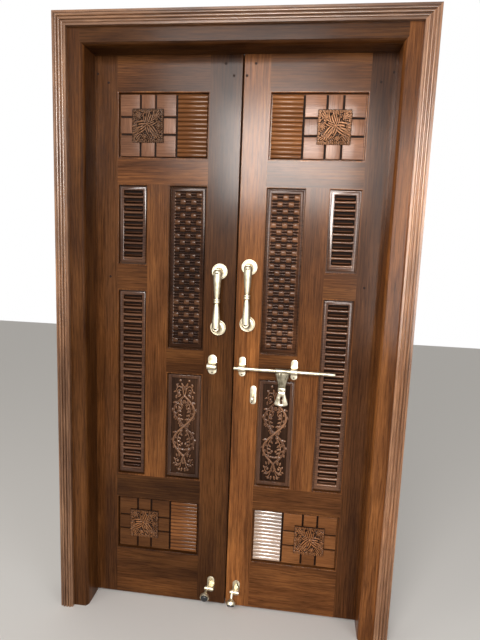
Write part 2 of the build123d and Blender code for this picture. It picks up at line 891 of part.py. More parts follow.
def tiled_panel(opening):
    """Reeded strip beside the meeting stile, then nine tiles round a place for the carved square."""
    x0, x1, z0, z1 = inset(opening, channel_width)
    strip_end = x0 + reed_strip_width
    tile_x0 = strip_end + tile_groove
    reed_count_here = round((z1 - z0) / panel_reed_pitch)
    reed_pitch = (z1 - z0) / reed_count_here
    side_width = (x1 - tile_x0 - middle_tile_width) / 2 - tile_groove
    side_height = (z1 - z0 - middle_tile_height) / 2 - tile_groove
    with BuildPart() as panel:
        add(panel_blank(opening))
        strip = rectangle(x0 - spare, strip_end, z0 - spare, z1 + spare)
        add(slab(strip, field_depth - spare, reed_back_depth), mode=Mode.SUBTRACT)
        with BuildSketch(side_plane(x0)):
            for reed in range(reed_count_here):
                low = z0 + reed * reed_pitch
                with BuildLine():
                    ThreePointArc(
                        (reed_back_depth, low),
                        (reed_back_depth - panel_reed_rise, low + reed_pitch / 2),
                        (reed_back_depth, low + reed_pitch),
                    )
                    Polyline(
                        (reed_back_depth, low + reed_pitch),
                        (reed_back_depth + spare, low + reed_pitch),
                        (reed_back_depth + spare, low),
                        (reed_back_depth, low),
                    )
                make_face()
        extrude(amount=reed_strip_width)
        grooves = [
            (strip_end, tile_x0, z0 - spare, z1 + spare),
            (tile_x0 + side_width, tile_x0 + side_width + tile_groove, z0 - spare, z1 + spare),
            (x1 - side_width - tile_groove, x1 - side_width, z0 - spare, z1 + spare),
            (tile_x0 - spare, x1 + spare, z0 + side_height, z0 + side_height + tile_groove),
            (tile_x0 - spare, x1 + spare, z1 - side_height - tile_groove, z1 - side_height),
        ]
        for groove in grooves:
            channel = slab(rectangle(*groove), field_depth - spare, field_depth + tile_groove_depth)
            add(channel, mode=Mode.SUBTRACT)
        middle = ((tile_x0 + x1) / 2, (z0 + z1) / 2)
        pad = rectangle(
            middle[0] - rosette_size / 2,
            middle[0] + rosette_size / 2,
            middle[1] - rosette_size / 2,
            middle[1] + rosette_size / 2,
        )
        add(slab(pad, field_depth, groove_front + tongue_clearance + spare))
    return panel.part


def corner_leaf_outline():
    """Pointed leaf along X that ends short of the carved square's corner."""
    tip = (rosette_size / 2 - corner_leaf_inset) * math.sqrt(2)
    start = tip - corner_leaf_length
    widest = start + corner_leaf_widest * corner_leaf_length
    with BuildSketch() as leaf:
        with BuildLine():
            Polyline(
                (start, 0),
                (widest, corner_leaf_width / 2),
                (tip, 0),
                (widest, -corner_leaf_width / 2),
                close=True,
            )
        make_face()
    return leaf.sketch


def petal_outline():
    """Blunt petal along X."""
    with BuildSketch() as petal:
        with BuildLine():
            Polyline(
                (petal_start, 0),
                (petal_start + petal_length * petal_widest, petal_width / 2),
                (petal_start + petal_length * petal_shoulder, petal_shoulder_width / 2),
                (petal_start + petal_length, 0),
                (petal_start + petal_length * petal_shoulder, -petal_shoulder_width / 2),
                (petal_start + petal_length * petal_widest, -petal_width / 2),
                close=True,
            )
        make_face()
    return petal.sketch


def rosette(opening):
    """Carved square: petals round a hub and a leaf in each corner."""
    x0, x1, z0, z1 = inset(opening, channel_width)
    middle_x = (x0 + reed_strip_width + tile_groove + x1) / 2
    middle_z = (z0 + z1) / 2
    face = field_depth - rosette_base
    petal = petal_outline()
    corner_leaf = corner_leaf_outline()
    with BuildPart() as carving:
        with BuildSketch(carved_plane(field_depth, middle_x, middle_z)):
            Rectangle(rosette_size, rosette_size)
        extrude(amount=rosette_base)
        with BuildSketch(carved_plane(face, middle_x, middle_z)):
            with PolarLocations(0, petal_count, start_angle=90):
                add(petal)
            with PolarLocations(0, 4, start_angle=45):
                add(corner_leaf)
        extrude(amount=petal_rise)
        chamfer(carving.faces().group_by(Axis.Y)[0].edges(), petal_bevel)
    return carving.part


right_hand_pieces["short_louvre"] = louvre_panel(openings["short_louvre"])
right_hand_pieces["long_louvre"] = louvre_panel(openings["long_louvre"])
right_hand_pieces["weave_panel"] = weave_panel(openings["weave_panel"])
right_hand_pieces["scroll_panel"] = scroll_panel(openings["scroll_panel"])
for name in ("top_panel", "bottom_panel"):
    right_hand_pieces[name] = tiled_panel(openings[name])
    right_hand_pieces[name.replace("panel", "rosette")] = rosette(openings[name])

for name, piece in right_hand_pieces.items():
    for side in ("left", "right"):
        finish(put_on_side(piece, side), f"{side}_{name}")

for side, shift in (("left", -meeting_line), ("right", meeting_line)):
    stile = make_meeting_stile(shift + meeting_gap / 2)
    finish(put_on_side(stile, side), f"{side}_meeting_stile")


# Pull handles


def pull_handle(x, height):
    """Two roses with posts that carry an upright turned grip with a collar at its middle."""
    grip_y = leaf_front - grip_standoff
    end = handle_centres / 2 + grip_overrun
    half_collar = collar_height / 2
    with BuildPart() as handle:
        for z in (height - handle_centres / 2, height + handle_centres / 2):
            with BuildSketch(Plane(origin=(x, leaf_front, z), x_dir=(1, 0, 0), z_dir=(0, 0, 1))):
                with BuildLine():
                    Polyline(
                        (0, 0),
                        (rose_radius, 0),
                        (rose_radius, -rose_edge),
                        (rose_neck_radius, -rose_height),
                        (post_radius, -rose_height),
                        (post_radius, -grip_standoff),
                        (0, -grip_standoff),
                        close=True,
                    )
                make_face()
            revolve(axis=Axis((x, leaf_front, z), (0, 1, 0)))
        with BuildSketch(Plane(origin=(x, grip_y, height), x_dir=(1, 0, 0), z_dir=(0, -1, 0))):
            with BuildLine():
                Polyline(
                    (0, -end),
                    (grip_end_radius - grip_cap, -end),
                    (grip_end_radius, -end + grip_cap),
                    (grip_end_radius - grip_barrel_taper, -end + grip_barrel),
                    (grip_waist_radius, -half_collar),
                    (collar_radius, -half_collar),
                    (collar_radius, half_collar),
                    (grip_waist_radius, half_collar),
                    (grip_end_radius - grip_barrel_taper, end - grip_barrel),
                    (grip_end_radius, end - grip_cap),
                    (grip_end_radius - grip_cap, end),
                    (0, end),
                    close=True,
                )
            make_face()
        revolve(axis=Axis((x, grip_y, height), (0, 0, 1)))
    return handle


finish(pull_handle(-left_handle_x, left_handle_height), "left_pull_handle")
finish(pull_handle(right_handle_x, right_handle_height), "right_pull_handle")


# Sliding bolt with its guides, catch, hasp and staple

bolt_y = leaf_front - bolt_standoff


def bolt_saddle(x, width, clearance):
    """Screwed strap with a saddle that the bolt runs through."""
    with BuildPart() as saddle:
        with BuildSketch(carved_plane(0, x, bolt_height + guide_rise)):
            SlotOverall(guide_length, width, rotation=90)
        extrude(amount=strap_thickness)
        with BuildSketch(side_plane(x - width / 2, bolt_height)):
            with Locations((-bolt_standoff, 0)):
                Circle(saddle_radius)
            with Locations((-bolt_standoff / 2, 0)):
                Rectangle(bolt_standoff, 2 * saddle_radius)
            with Locations((-bolt_standoff, 0)):
                Circle(bolt_radius + clearance, mode=Mode.SUBTRACT)
        extrude(amount=width)
    return saddle


for name, position in zip(("inner", "outer"), guide_positions):
    finish(bolt_saddle(position, guide_width, guide_clearance), f"bolt_guide_{name}")
finish(bolt_saddle(-catch_x, catch_width, catch_clearance), "bolt_catch")

bolt_end = bolt_start + bolt_length
with BuildPart() as bolt_rod:
    add(tube_between((bolt_start, bolt_y, bolt_height), (bolt_end, bolt_y, bolt_height), bolt_radius))
    chamfer(bolt_rod.edges().filter_by(GeomType.CIRCLE), bolt_end_chamfer)
finish(bolt_rod, "bolt_rod")

with BuildPart() as hasp:
    half_sleeve = hasp_sleeve_width / 2
    half_neck = hasp_neck_width / 2
    half_bell = hasp_bell_width / 2
    collar_bottom = -hasp_neck_drop - hasp_collar_height
    flank = Vector(hasp_flank_width / 2, -hasp_flank_drop)
    bell_side = Vector((half_neck + half_bell) / 2 - hasp_bell_hollow, (collar_bottom - hasp_bell_drop) / 2)
    plate_plane = carved_plane(-bolt_standoff + hasp_thickness / 2, hasp_x, bolt_height)
    with BuildSketch(plate_plane):
        with BuildLine():
            for hand in (-1, 1):
                ThreePointArc(
                    (hand * half_sleeve, 0),
                    (hand * flank.X, flank.Y),
                    (hand * half_neck, -hasp_neck_drop),
                )
                Line((hand * half_neck, -hasp_neck_drop), (hand * half_neck, collar_bottom))
                ThreePointArc(
                    (hand * half_neck, collar_bottom),
                    (hand * bell_side.X, bell_side.Y),
                    (hand * half_bell, -hasp_bell_drop),
                )
            ThreePointArc((-half_bell, -hasp_bell_drop), (0, -hasp_tip_drop), (half_bell, -hasp_bell_drop))
            Line((half_sleeve, 0), (-half_sleeve, 0))
        make_face()
        with Locations((0, -hasp_slot_drop)):
            SlotOverall(hasp_slot_length, hasp_slot_width, rotation=90, mode=Mode.SUBTRACT)
    extrude(amount=hasp_thickness)
    with BuildSketch(carved_plane(-bolt_standoff + hasp_collar_thickness / 2, hasp_x, bolt_height)):
        with Locations((0, (collar_bottom - hasp_neck_drop) / 2)):
            Rectangle(hasp_collar_width, hasp_collar_height)
    extrude(amount=hasp_collar_thickness)
    sleeve_ends = [(hasp_x + end * half_sleeve, bolt_y, bolt_height) for end in (-1, 1)]
    add(tube_between(*sleeve_ends, hasp_sleeve_radius))
    add(tube_between(*sleeve_ends, bolt_radius + hasp_clearance), mode=Mode.SUBTRACT)
finish(hasp, "hasp")

with BuildPart() as lock_staple:
    staple_height = bolt_height - hasp_slot_drop
    with BuildSketch(carved_plane(0, staple_x, staple_height + staple_rise)):
        SlotOverall(staple_length, staple_width, rotation=90)
    extrude(amount=strap_thickness)
    with BuildSketch(side_plane(staple_x - staple_lug_thickness / 2, staple_height)):
        with BuildLine():
            half_lug = staple_lug_height / 2
            nose_start = staple_eye_standoff - staple_nose_radius
            Polyline(
                (-staple_eye_standoff, staple_nose_radius),
                (-nose_start, half_lug),
                (0, half_lug),
                (0, -half_lug),
                (-nose_start, -half_lug),
                (-staple_eye_standoff, -staple_nose_radius),
            )
            ThreePointArc(
                (-staple_eye_standoff, -staple_nose_radius),
                (-staple_eye_standoff - staple_nose_radius, 0),
                (-staple_eye_standoff, staple_nose_radius),
            )
        make_face()
        with Locations((-staple_eye_standoff, 0)):
            Circle(staple_eye_radius, mode=Mode.SUBTRACT)
    extrude(amount=staple_lug_thickness)
finish(lock_staple, "lock_staple")


# Door stoppers: a plate with a pivot, and a leg with a rubber foot


def stopper_pivot(x, height):
    """Place of the leg's pivot: the middle of its hub."""
    left_of_boss = x + stopper_boss_shift - stopper_boss_width / 2
    hub_x = left_of_boss - stopper_side_gap - stopper_hub_width / 2
    return Vector(hub_x, leaf_front - stopper_pivot_standoff, height - stopper_pivot_drop)


def stopper_plate(x, height):
    """Screwed plate with a boss that holds the leg's pin, and the pin's riveted cap."""
    pivot = stopper_pivot(x, height)
    boss_left = x + stopper_boss_shift - stopper_boss_width / 2
    cap_start = pivot.X - stopper_hub_width / 2 - stopper_side_gap
    with BuildPart() as plate:
        with BuildSketch(carved_plane(0, x, height)):
            SlotOverall(stopper_plate_length, stopper_plate_width, rotation=90)
        extrude(amount=stopper_plate_thickness)
        with BuildSketch(side_plane(boss_left, pivot.Z)):
            with Locations((-stopper_pivot_standoff, 0)):
                Circle(stopper_boss_radius)
            with Locations((-stopper_pivot_standoff / 2, 0)):
                Rectangle(stopper_pivot_standoff, 2 * stopper_boss_radius)
        extrude(amount=stopper_boss_width)
        pin_start = boss_left + spare
        add(tube_between((pin_start, pivot.Y, pivot.Z), (cap_start, pivot.Y, pivot.Z), stopper_pin_radius))
        cap_end = cap_start - stopper_cap_thickness
        add(tube_between((cap_start, pivot.Y, pivot.Z), (cap_end, pivot.Y, pivot.Z), stopper_cap_radius))
    return plate


def leg_frame(pivot, angle):
    """Plane through the leg's axis: first across it, then along it to the foot."""
    down = math.radians(angle)
    along = Vector(0, -math.cos(down), -math.sin(down))
    across = Vector(1, 0, 0)
    return Plane(origin=pivot, x_dir=across, z_dir=across.cross(along)), Axis(pivot, along)


def stopper_leg(x, height, angle):
    """Leg with a hub round the pin and a bell that holds the rubber."""
    pivot = stopper_pivot(x, height)
    plane, axis = leg_frame(pivot, angle)
    half_hub = stopper_hub_width / 2
    with BuildPart() as leg:
        with BuildSketch(plane):
            with BuildLine():
                Polyline(
                    (0, 0),
                    (stopper_leg_radius, 0),
                    (stopper_leg_radius, stopper_bell_start),
                    (stopper_bell_radius, stopper_bell_start + stopper_bell_flare),
                    (stopper_bell_radius, stopper_bell_end),
                    (stopper_rubber_radius, stopper_bell_end),
                    (stopper_rubber_radius, stopper_bell_end - stopper_socket_depth),
                    (0, stopper_bell_end - stopper_socket_depth),
                    close=True,
                )
            make_face()
        revolve(axis=axis)
        hub_ends = [(pivot.X + end * half_hub, pivot.Y, pivot.Z) for end in (-1, 1)]
        add(tube_between(*hub_ends, stopper_hub_radius))
        add(tube_between(*hub_ends, stopper_pin_radius + stopper_clearance), mode=Mode.SUBTRACT)
    return leg


def stopper_rubber(x, height, angle):
    """Rubber buffer seated in the leg's bell."""
    plane, axis = leg_frame(stopper_pivot(x, height), angle)
    with BuildPart() as rubber:
        with BuildSketch(plane):
            with BuildLine():
                Polyline(
                    (0, stopper_bell_end - stopper_socket_depth),
                    (stopper_rubber_radius, stopper_bell_end - stopper_socket_depth),
                    (stopper_rubber_radius, stopper_rubber_end - stopper_rubber_bevel),
                    (stopper_rubber_radius - stopper_rubber_bevel, stopper_rubber_end),
                    (0, stopper_rubber_end),
                    close=True,
                )
            make_face()
        revolve(axis=axis)
    return rubber


stoppers = {
    "left": (left_stopper_x, left_stopper_height, left_leg_angle),
    "right": (right_stopper_x, right_stopper_height, right_leg_angle),
}
for side, (x, height, angle) in stoppers.items():
    finish(stopper_plate(x, height), f"{side}_stopper_plate")
    finish(stopper_leg(x, height, angle), f"{side}_stopper_leg")
    finish(stopper_rubber(x, height, angle), f"{side}_stopper_rubber")
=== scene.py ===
"""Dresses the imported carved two-leaf door: teak, carving, mouldings, brass and the view of it.

All lengths in the code are in millimetres until a shell becomes a mesh, in metres.
X runs to the right, Y away from the viewer, Z up. Depths are counted from the leaves' carved face.
"""

from __future__ import annotations

import logging
import math
from dataclasses import dataclass, field, replace
from enum import Enum
from itertools import product

import bmesh
import bpy
import numpy as np
from mathutils import Matrix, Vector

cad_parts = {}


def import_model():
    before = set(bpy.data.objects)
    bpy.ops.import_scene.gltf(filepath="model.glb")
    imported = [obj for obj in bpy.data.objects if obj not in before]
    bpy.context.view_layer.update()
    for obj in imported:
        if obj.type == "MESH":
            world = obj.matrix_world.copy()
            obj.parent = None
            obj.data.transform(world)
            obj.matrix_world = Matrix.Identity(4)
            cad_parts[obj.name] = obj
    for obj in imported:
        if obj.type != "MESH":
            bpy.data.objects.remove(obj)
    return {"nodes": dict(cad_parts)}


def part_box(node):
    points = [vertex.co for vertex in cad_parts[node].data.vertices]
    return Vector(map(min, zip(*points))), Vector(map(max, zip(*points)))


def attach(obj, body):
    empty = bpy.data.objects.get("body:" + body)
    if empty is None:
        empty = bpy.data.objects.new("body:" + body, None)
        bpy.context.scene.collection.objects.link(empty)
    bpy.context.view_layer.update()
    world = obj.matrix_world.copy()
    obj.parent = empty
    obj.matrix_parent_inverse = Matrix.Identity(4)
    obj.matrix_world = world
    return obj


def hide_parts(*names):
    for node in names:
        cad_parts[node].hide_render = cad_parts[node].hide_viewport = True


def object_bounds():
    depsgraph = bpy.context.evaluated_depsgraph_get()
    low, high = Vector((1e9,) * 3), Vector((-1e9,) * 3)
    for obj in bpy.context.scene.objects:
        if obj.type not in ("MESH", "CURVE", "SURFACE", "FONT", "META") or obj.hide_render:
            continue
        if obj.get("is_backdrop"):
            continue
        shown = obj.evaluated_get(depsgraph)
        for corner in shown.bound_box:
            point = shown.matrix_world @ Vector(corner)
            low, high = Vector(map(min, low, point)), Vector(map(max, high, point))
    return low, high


log = logging.getLogger("carved_door")

Array = np.ndarray
Point = tuple[float, float, float]
Colour = tuple[float, float, float]
Rect = tuple[float, float, float, float]
Material = bpy.types.Material
Socket = bpy.types.NodeSocket

METRES = 0.001
TONGUE = 8.7
# Faces whose mean painted shading is lower than this take a near-black teak of painted shade.
PAINTED_SHADE_BELOW = 0.16
packed_nodes: dict[str, bpy.types.Object] = {}


@dataclass
class Shell:
    """One closed surface.

    Attributes:
        points: Corner points, one row each, in millimetres.
        quads: Four point numbers a row.
        caps: Polygons that close the ends or the back, as lists of point numbers.
        relief: Painted light and shade at each point, from 0 for painted shade in the hollows to 1 for a painted
            highlight on the crests, mostly worked out from the carving's height and creases.
    """

    points: Array
    quads: Array
    caps: list[list[int]] = field(default_factory=list)
    relief: Array | None = None


def once_round(count: int) -> Array:
    """Evenly spread angles of one full turn."""
    return np.linspace(0.0, 2.0 * np.pi, count, endpoint=False)


def grid_quads(rows: int, cols: int, wrap_rows: bool = False, wrap_cols: bool = False) -> Array:
    """Quads of a grid numbered row by row: point (r, c) joins (r + 1, c + 1), round the seam where it wraps.

    Args:
        rows: Number of rows of points.
        cols: Number of points in a row.
        wrap_rows: Whether the last row joins the first.
        wrap_cols: Whether the last column joins the first.

    Returns:
        Four point numbers for each quad.
    """
    row, col = np.meshgrid(
        np.arange(rows if wrap_rows else rows - 1), np.arange(cols if wrap_cols else cols - 1), indexing="ij"
    )
    next_row, next_col = (row + 1) % rows, (col + 1) % cols
    corners = [row * cols + col, row * cols + next_col, next_row * cols + next_col, next_row * cols + col]
    return np.stack(corners, axis=-1).reshape(-1, 4)


def tube_shell(x: Array, y: Array, z: Array, looped: bool = False) -> Shell:
    """Closed rings of points joined one to the next, with a flat cap at each open end.

    Args:
        x: X by ring and place in the ring.
        y: Y in the same way.
        z: Z in the same way.
        looped: Whether the last ring joins the first, so that there is no cap.

    Returns:
        The closed shell.
    """
    rings = np.stack(np.broadcast_arrays(x, y, z), axis=-1)
    count, size, _ = rings.shape
    caps = [] if looped else [list(range(size))[::-1], list(range((count - 1) * size, count * size))]
    return Shell(rings.reshape(-1, 3), grid_quads(count, size, looped, True), caps)


def lathe_shell(along: Array, radius: Array, start: Array, axis: Array, segments: int = 48) -> Shell:
    """A turned form: start + axis * along + radius * (across cos a + aside sin a), with a once round.

    Args:
        along: Distance of each ring along the axis.
        radius: Radius of each ring.
        start: Point that the distances count from.
        axis: Unit vector of the axis, at a right angle to X.
        segments: Points in a ring.

    Returns:
        The closed shell.
    """
    across = np.cross(axis, [1.0, 0.0, 0.0])
    angle = once_round(segments)[None, :, None]
    spoke = across * np.cos(angle) + np.cross(axis, across) * np.sin(angle)
    centre = start + np.asarray(along, float)[:, None, None] * axis
    rings = centre + np.maximum(np.asarray(radius, float), 0.02)[:, None, None] * spoke
    return tube_shell(*np.moveaxis(rings, -1, 0))


def frame_shell(rect: Rect, profile: list[tuple[float, float]], face: float) -> Shell:
    """A moulding carried round an upright rectangle with mitred corners.

    A profile point (d, y) lands at each corner moved out by d both ways, at depth y behind the face.

    Args:
        rect: Left, right, lower and upper side.
        profile: Closed section as distance out from the rectangle and depth.
        face: Y of the carved face.

    Returns:
        The closed shell.
    """
    x0, x1, z0, z1 = rect
    out, depth = np.array(profile, float).T
    sides = np.array([[x0, z0, -1, -1], [x1, z0, 1, -1], [x1, z1, 1, 1], [x0, z1, -1, 1]], float)
    x = sides[:, 0:1] + sides[:, 2:3] * out
    z = sides[:, 1:2] + sides[:, 3:4] * out
    return tube_shell(x, face + depth, z, looped=True)


def relief_shell(
    x: Array, z: Array, front: Array, back: float, relief: Array | None = None, behind_painted_shading: float = 1.0
) -> Shell:
    """A carved slab: the front is y = front(z, x) on a grid, and straight sides run to a flat back.

    Args:
        x: Places of the columns.
        z: Places of the rows.
        front: Y of the front at each row and column.
        back: Y of the back.
        relief: Painted shade and highlight from 0 to 1 on the same grid.
        behind_painted_shading: Painted shading that the back's edge counts as.

    Returns:
        The closed shell.
    """
    rows, cols = front.shape
    grid_x, grid_z = np.meshgrid(x, z)
    points = np.stack([grid_x, front, grid_z], axis=-1).reshape(-1, 3)
    number = np.arange(rows * cols).reshape(rows, cols)
    edge = np.concatenate([number[0, :-1], number[:-1, -1], number[-1, :0:-1], number[:0:-1, 0]])
    rim = points[edge].copy()
    rim[:, 1] = back
    behind = rows * cols + np.arange(len(edge))
    walls = np.stack([edge, np.roll(edge, -1), np.roll(behind, -1), behind], axis=-1)
    heights = None if relief is None else np.concatenate([relief.ravel(), np.full(len(edge), behind_painted_shading)])
    quads = np.concatenate([grid_quads(rows, cols), walls])
    return Shell(np.concatenate([points, rim]), quads, [behind[::-1].tolist()], heights)


def block_shell(rect: Rect, front: float, back: float, arris: float) -> Shell:
    """A board with rounded front edges: depth falls by arris - sqrt(arris^2 - (arris - d)^2) at d from an edge.

    Args:
        rect: Left, right, lower and upper side.
        front: Y of the front face.
        back: Y of the back.
        arris: Radius of the rounded edge.

    Returns:
        The closed shell.
    """
    x0, x1, z0, z1 = rect
    steps = arris * np.array([0.0, 0.3, 0.65, 1.0])
    x = np.concatenate([x0 + steps, x1 - steps[::-1]])
    z = np.concatenate([z0 + steps, z1 - steps[::-1]])
    grid_x, grid_z = np.meshgrid(x, z)
    inside = np.minimum(np.minimum(grid_x - x0, x1 - grid_x), np.minimum(grid_z - z0, z1 - grid_z))
    short = np.clip(arris - inside, 0.0, arris)
    return relief_shell(x, z, front + arris - np.sqrt(arris**2 - short**2), back)


def ridge_shells(
    spans: Array, height: Array, half: float, floor: float, ends: tuple, sides: int = 9, fullness: float = 1.0
) -> list[Shell]:
    """Rounded ridges lying along X: z = half * cos a and y = floor - height * sin(a)^fullness, a from 0 to pi.

    Args:
        spans: Left end, right end and middle height of each ridge.
        height: How far each ridge stands up from the floor.
        half: Half of a ridge's width.
        floor: Y that the ridges stand on.
        ends: Share of the length and size of the section there, from one end to the other.
        sides: Points of the half round.
        fullness: 1 for a half round, and less for a flatter crest.

    Returns:
        One shell for each ridge.
    """
    angle = np.linspace(0.0, np.pi, sides)
    share, size = np.array(ends, float).T[:, :, None]
    arch = np.clip(np.sin(angle), 0.0, 1.0) ** fullness
    return [
        tube_shell(left + share * (right - left), floor - rise * size * arch, middle + half * size * np.cos(angle))
        for (left, right, middle), rise in zip(spans, np.broadcast_to(height, len(spans)))
    ]


def path_distance(x: Array, z: Array, path: Array) -> tuple[Array, Array]:
    """Nearest distance from each grid point to a row of straight stretches, and how far along it that is.

    Each stretch gives t = (p - a).(b - a) / |b - a|^2 cut to 0..1; the nearest stretch counts.

    Args:
        x: Grid of X.
        z: Grid of Z.
        path: Points of the path.

    Returns:
        The distance and the share of the path's length, each shaped as the grid.
    """
    start, run = path[:-1], np.diff(path, axis=0)
    length = np.linalg.norm(run, axis=1)
    done = np.concatenate([[0.0], np.cumsum(length)])
    px, pz = x.ravel()[:, None] - start[:, 0], z.ravel()[:, None] - start[:, 1]
    t = np.clip((px * run[:, 0] + pz * run[:, 1]) / np.maximum(length**2, 1e-9), 0.0, 1.0)
    gap = np.hypot(px - t * run[:, 0], pz - t * run[:, 1])
    nearest = gap.argmin(axis=1)
    pick = np.arange(len(nearest))
    share = (done[nearest] + t[pick, nearest] * length[nearest]) / done[-1]
    return gap[pick, nearest].reshape(x.shape), share.reshape(x.shape)


def cavity(height: Array, reach: int = 2) -> Array:
    """Height of each point over the mean of eight points at the given reach, so creases come out below zero.

    Args:
        height: Relief on a grid.
        reach: Distance in grid steps.

    Returns:
        The difference on the same grid.
    """
    wide = np.pad(height, reach, mode="edge")
    rows, cols = height.shape
    total = np.zeros_like(height)
    for down, along in product((0, reach, 2 * reach), repeat=2):
        total += wide[down : down + rows, along : along + cols]
    return height - (total - height) / 8.0


def leaf_axes(
    x: Array, z: Array, start: tuple[float, float], angle: float, length: float, half: float
) -> tuple[Array, Array]:
    """Place on a leaf: a runs from 0 at the stalk to 1 at the tip, b is 1 at half the width to a side.

    Args:
        x: Grid of X.
        z: Grid of Z.
        start: The stalk end.
        angle: Way that the leaf points, in degrees.
        length: Its length.
        half: Half of its width.

    Returns:
        a and b on the grid.
    """
    cos, sin = math.cos(math.radians(angle)), math.sin(math.radians(angle))
    along = ((x - start[0]) * cos + (z - start[1]) * sin) / length
    return along, (-(x - start[0]) * sin + (z - start[1]) * cos) / half


def smooth_path(points: tuple[tuple[float, float], ...], steps: int = 8) -> Array:
    """A Catmull-Rom curve through the points: each span blends its four nearest points by cubic weights.

    Args:
        points: Places that the curve passes.
        steps: Stretches to a span.

    Returns:
        Points along the curve.
    """
    p = np.array(points, float)
    p = np.vstack([2 * p[0] - p[1], p, 2 * p[-1] - p[-2]])
    t = np.linspace(0.0, 1.0, steps, endpoint=False)[None, :, None]
    a, b, c, d = p[:-3, None], p[1:-2, None], p[2:-1, None], p[3:, None]
    curve = 0.5 * (2 * b + (c - a) * t + (2 * a - 5 * b + 4 * c - d) * t**2 + (3 * b - a - 3 * c + d) * t**3)
    return np.vstack([curve.reshape(-1, 2), p[-2]])


def build_mesh(name: str, shells: list[Shell]) -> bpy.types.Mesh:
    """Joins shells into one mesh in metres, with its painted shading as a point attribute and its faces turned
    outwards.

    Args:
        name: Name of the mesh.
        shells: Closed surfaces.

    Returns:
        The new mesh.
    """
    offsets = np.cumsum([0] + [len(shell.points) for shell in shells])
    points = np.concatenate([shell.points for shell in shells]) * METRES
    faces: list[list[int]] = []
    for shell, offset in zip(shells, offsets):
        faces += (shell.quads + offset).tolist()
        faces += [[number + int(offset) for number in cap] for cap in shell.caps]
    mesh = bpy.data.meshes.new(name)
    mesh.from_pydata(points.tolist(), [], faces)
    work = bmesh.new()
    work.from_mesh(mesh)
    bmesh.ops.recalc_face_normals(work, faces=work.faces)
    work.to_mesh(mesh)
    work.free()
    # Shells without painted shading count as fully lit, at 1.
    relief = [np.ones(len(shell.points)) if shell.relief is None else shell.relief for shell in shells]
    layer = mesh.attributes.new("relief", "FLOAT", "POINT")
    layer.data.foreach_set("value", np.concatenate(relief).astype(np.float32))
    return mesh


def paint_shade_in_hollows(mesh: bpy.types.Mesh) -> None:
    """Gives the second material, a near-black teak of painted shade, to each face whose corners' mean painted shading
    is under the level for painted shade.

    Args:
        mesh: Mesh with the relief attribute.
    """
    relief = np.empty(len(mesh.vertices), np.float32)
    mesh.attributes["relief"].data.foreach_get("value", relief)
    corner = np.empty(len(mesh.loops), np.int32)
    mesh.loops.foreach_get("vertex_index", corner)
    start = np.empty(len(mesh.polygons), np.int32)
    mesh.polygons.foreach_get("loop_start", start)
    mean = np.add.reduceat(relief[corner], start) / np.diff(np.append(start, len(corner)))
    mesh.polygons.foreach_set("material_index", (mean < PAINTED_SHADE_BELOW).astype(np.int32))


def tie_piece(
    name: str, mesh: bpy.types.Mesh, material: Material, body: str, replaced: tuple[str, ...]
) -> bpy.types.Object:
    """Makes an object of a mesh, ties it to its body and hides the nodes that it stands for.

    Args:
        name: Name of the piece.
        mesh: Its mesh.
        material: Its finish.
        body: Body that it moves with.
        replaced: Nodes that it stands for.

    Returns:
        The new object.
    """
    mesh.materials.append(material)
    piece = bpy.data.objects.new(name, mesh)
    bpy.context.scene.collection.objects.link(piece)
    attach(piece, body)
    if replaced:
        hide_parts(*replaced)
    log.info("%s: %d points, rides on %s", name, len(mesh.vertices), body)
    return piece


def add_piece(
    name: str,
    shells: list[Shell],
    material: Material,
    body: str,
    replaced: tuple[str, ...] = (),
    crease: float = 35.0,
    hollow: Material | None = None,
) -> None:
    """Makes a piece from shells and ties it.

    Args:
        name: Name of the piece.
        shells: Closed surfaces.
        material: Its finish.
        body: Body that it moves with.
        replaced: Nodes that it stands for.
        crease: Angle in degrees past which an edge stays sharp.
        hollow: Near-black finish of painted shade for the faces whose mean painted shading is low.
    """
    mesh = build_mesh(name, shells)
    mesh.shade_smooth()
    mesh.set_sharp_from_angle(angle=math.radians(crease))
    tie_piece(name, mesh, material, body, replaced)
    if hollow is not None:
        mesh.materials.append(hollow)
        paint_shade_in_hollows(mesh)


def soften_node(node: str, material: Material, body: str, width: float) -> None:
    """Copies a node's mesh, joins its loose triangles and rounds its edges with a bevel of the given width.

    Args:
        node: CAD node to copy and stand for.
        material: Its finish.
        body: Body that it moves with.
        width: Width of the rounding in millimetres.
    """
    mesh = packed_nodes[node].data.copy()
    mesh.materials.clear()
    work = bmesh.new()
    work.from_mesh(mesh)
    bmesh.ops.remove_doubles(work, verts=work.verts, dist=0.00001)
    bmesh.ops.dissolve_limit(work, angle_limit=math.radians(0.5), verts=work.verts, edges=work.edges)
    work.to_mesh(mesh)
    work.free()
    mesh.shade_smooth()
    bevel = tie_piece(f"{node}_finished", mesh, material, body, (node,)).modifiers.new("rounding", "BEVEL")
    bevel.width = width * METRES
    bevel.segments = 2
    bevel.limit_method = "ANGLE"
    bevel.angle_limit = math.radians(40)
    bevel.harden_normals = True


def paint_node(node: str, material: Material) -> None:
    """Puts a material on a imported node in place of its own."""
    for place in packed_nodes[node].material_slots:
        place.material = material


def box_of(node: str) -> list[list[float]]:
    """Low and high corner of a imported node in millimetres."""
    return [[part / METRES for part in corner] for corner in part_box(node)]


class Grain(Enum):
    """Way that the grain runs in a board."""

    UPRIGHT = "Z"
    ACROSS = "X"

    def drawn(self, amount: float) -> Point:
        """Scale that draws a pattern out along the grain."""
        return (amount, 1.0, 1.0) if self is Grain.ACROSS else (1.0, 1.0, amount)


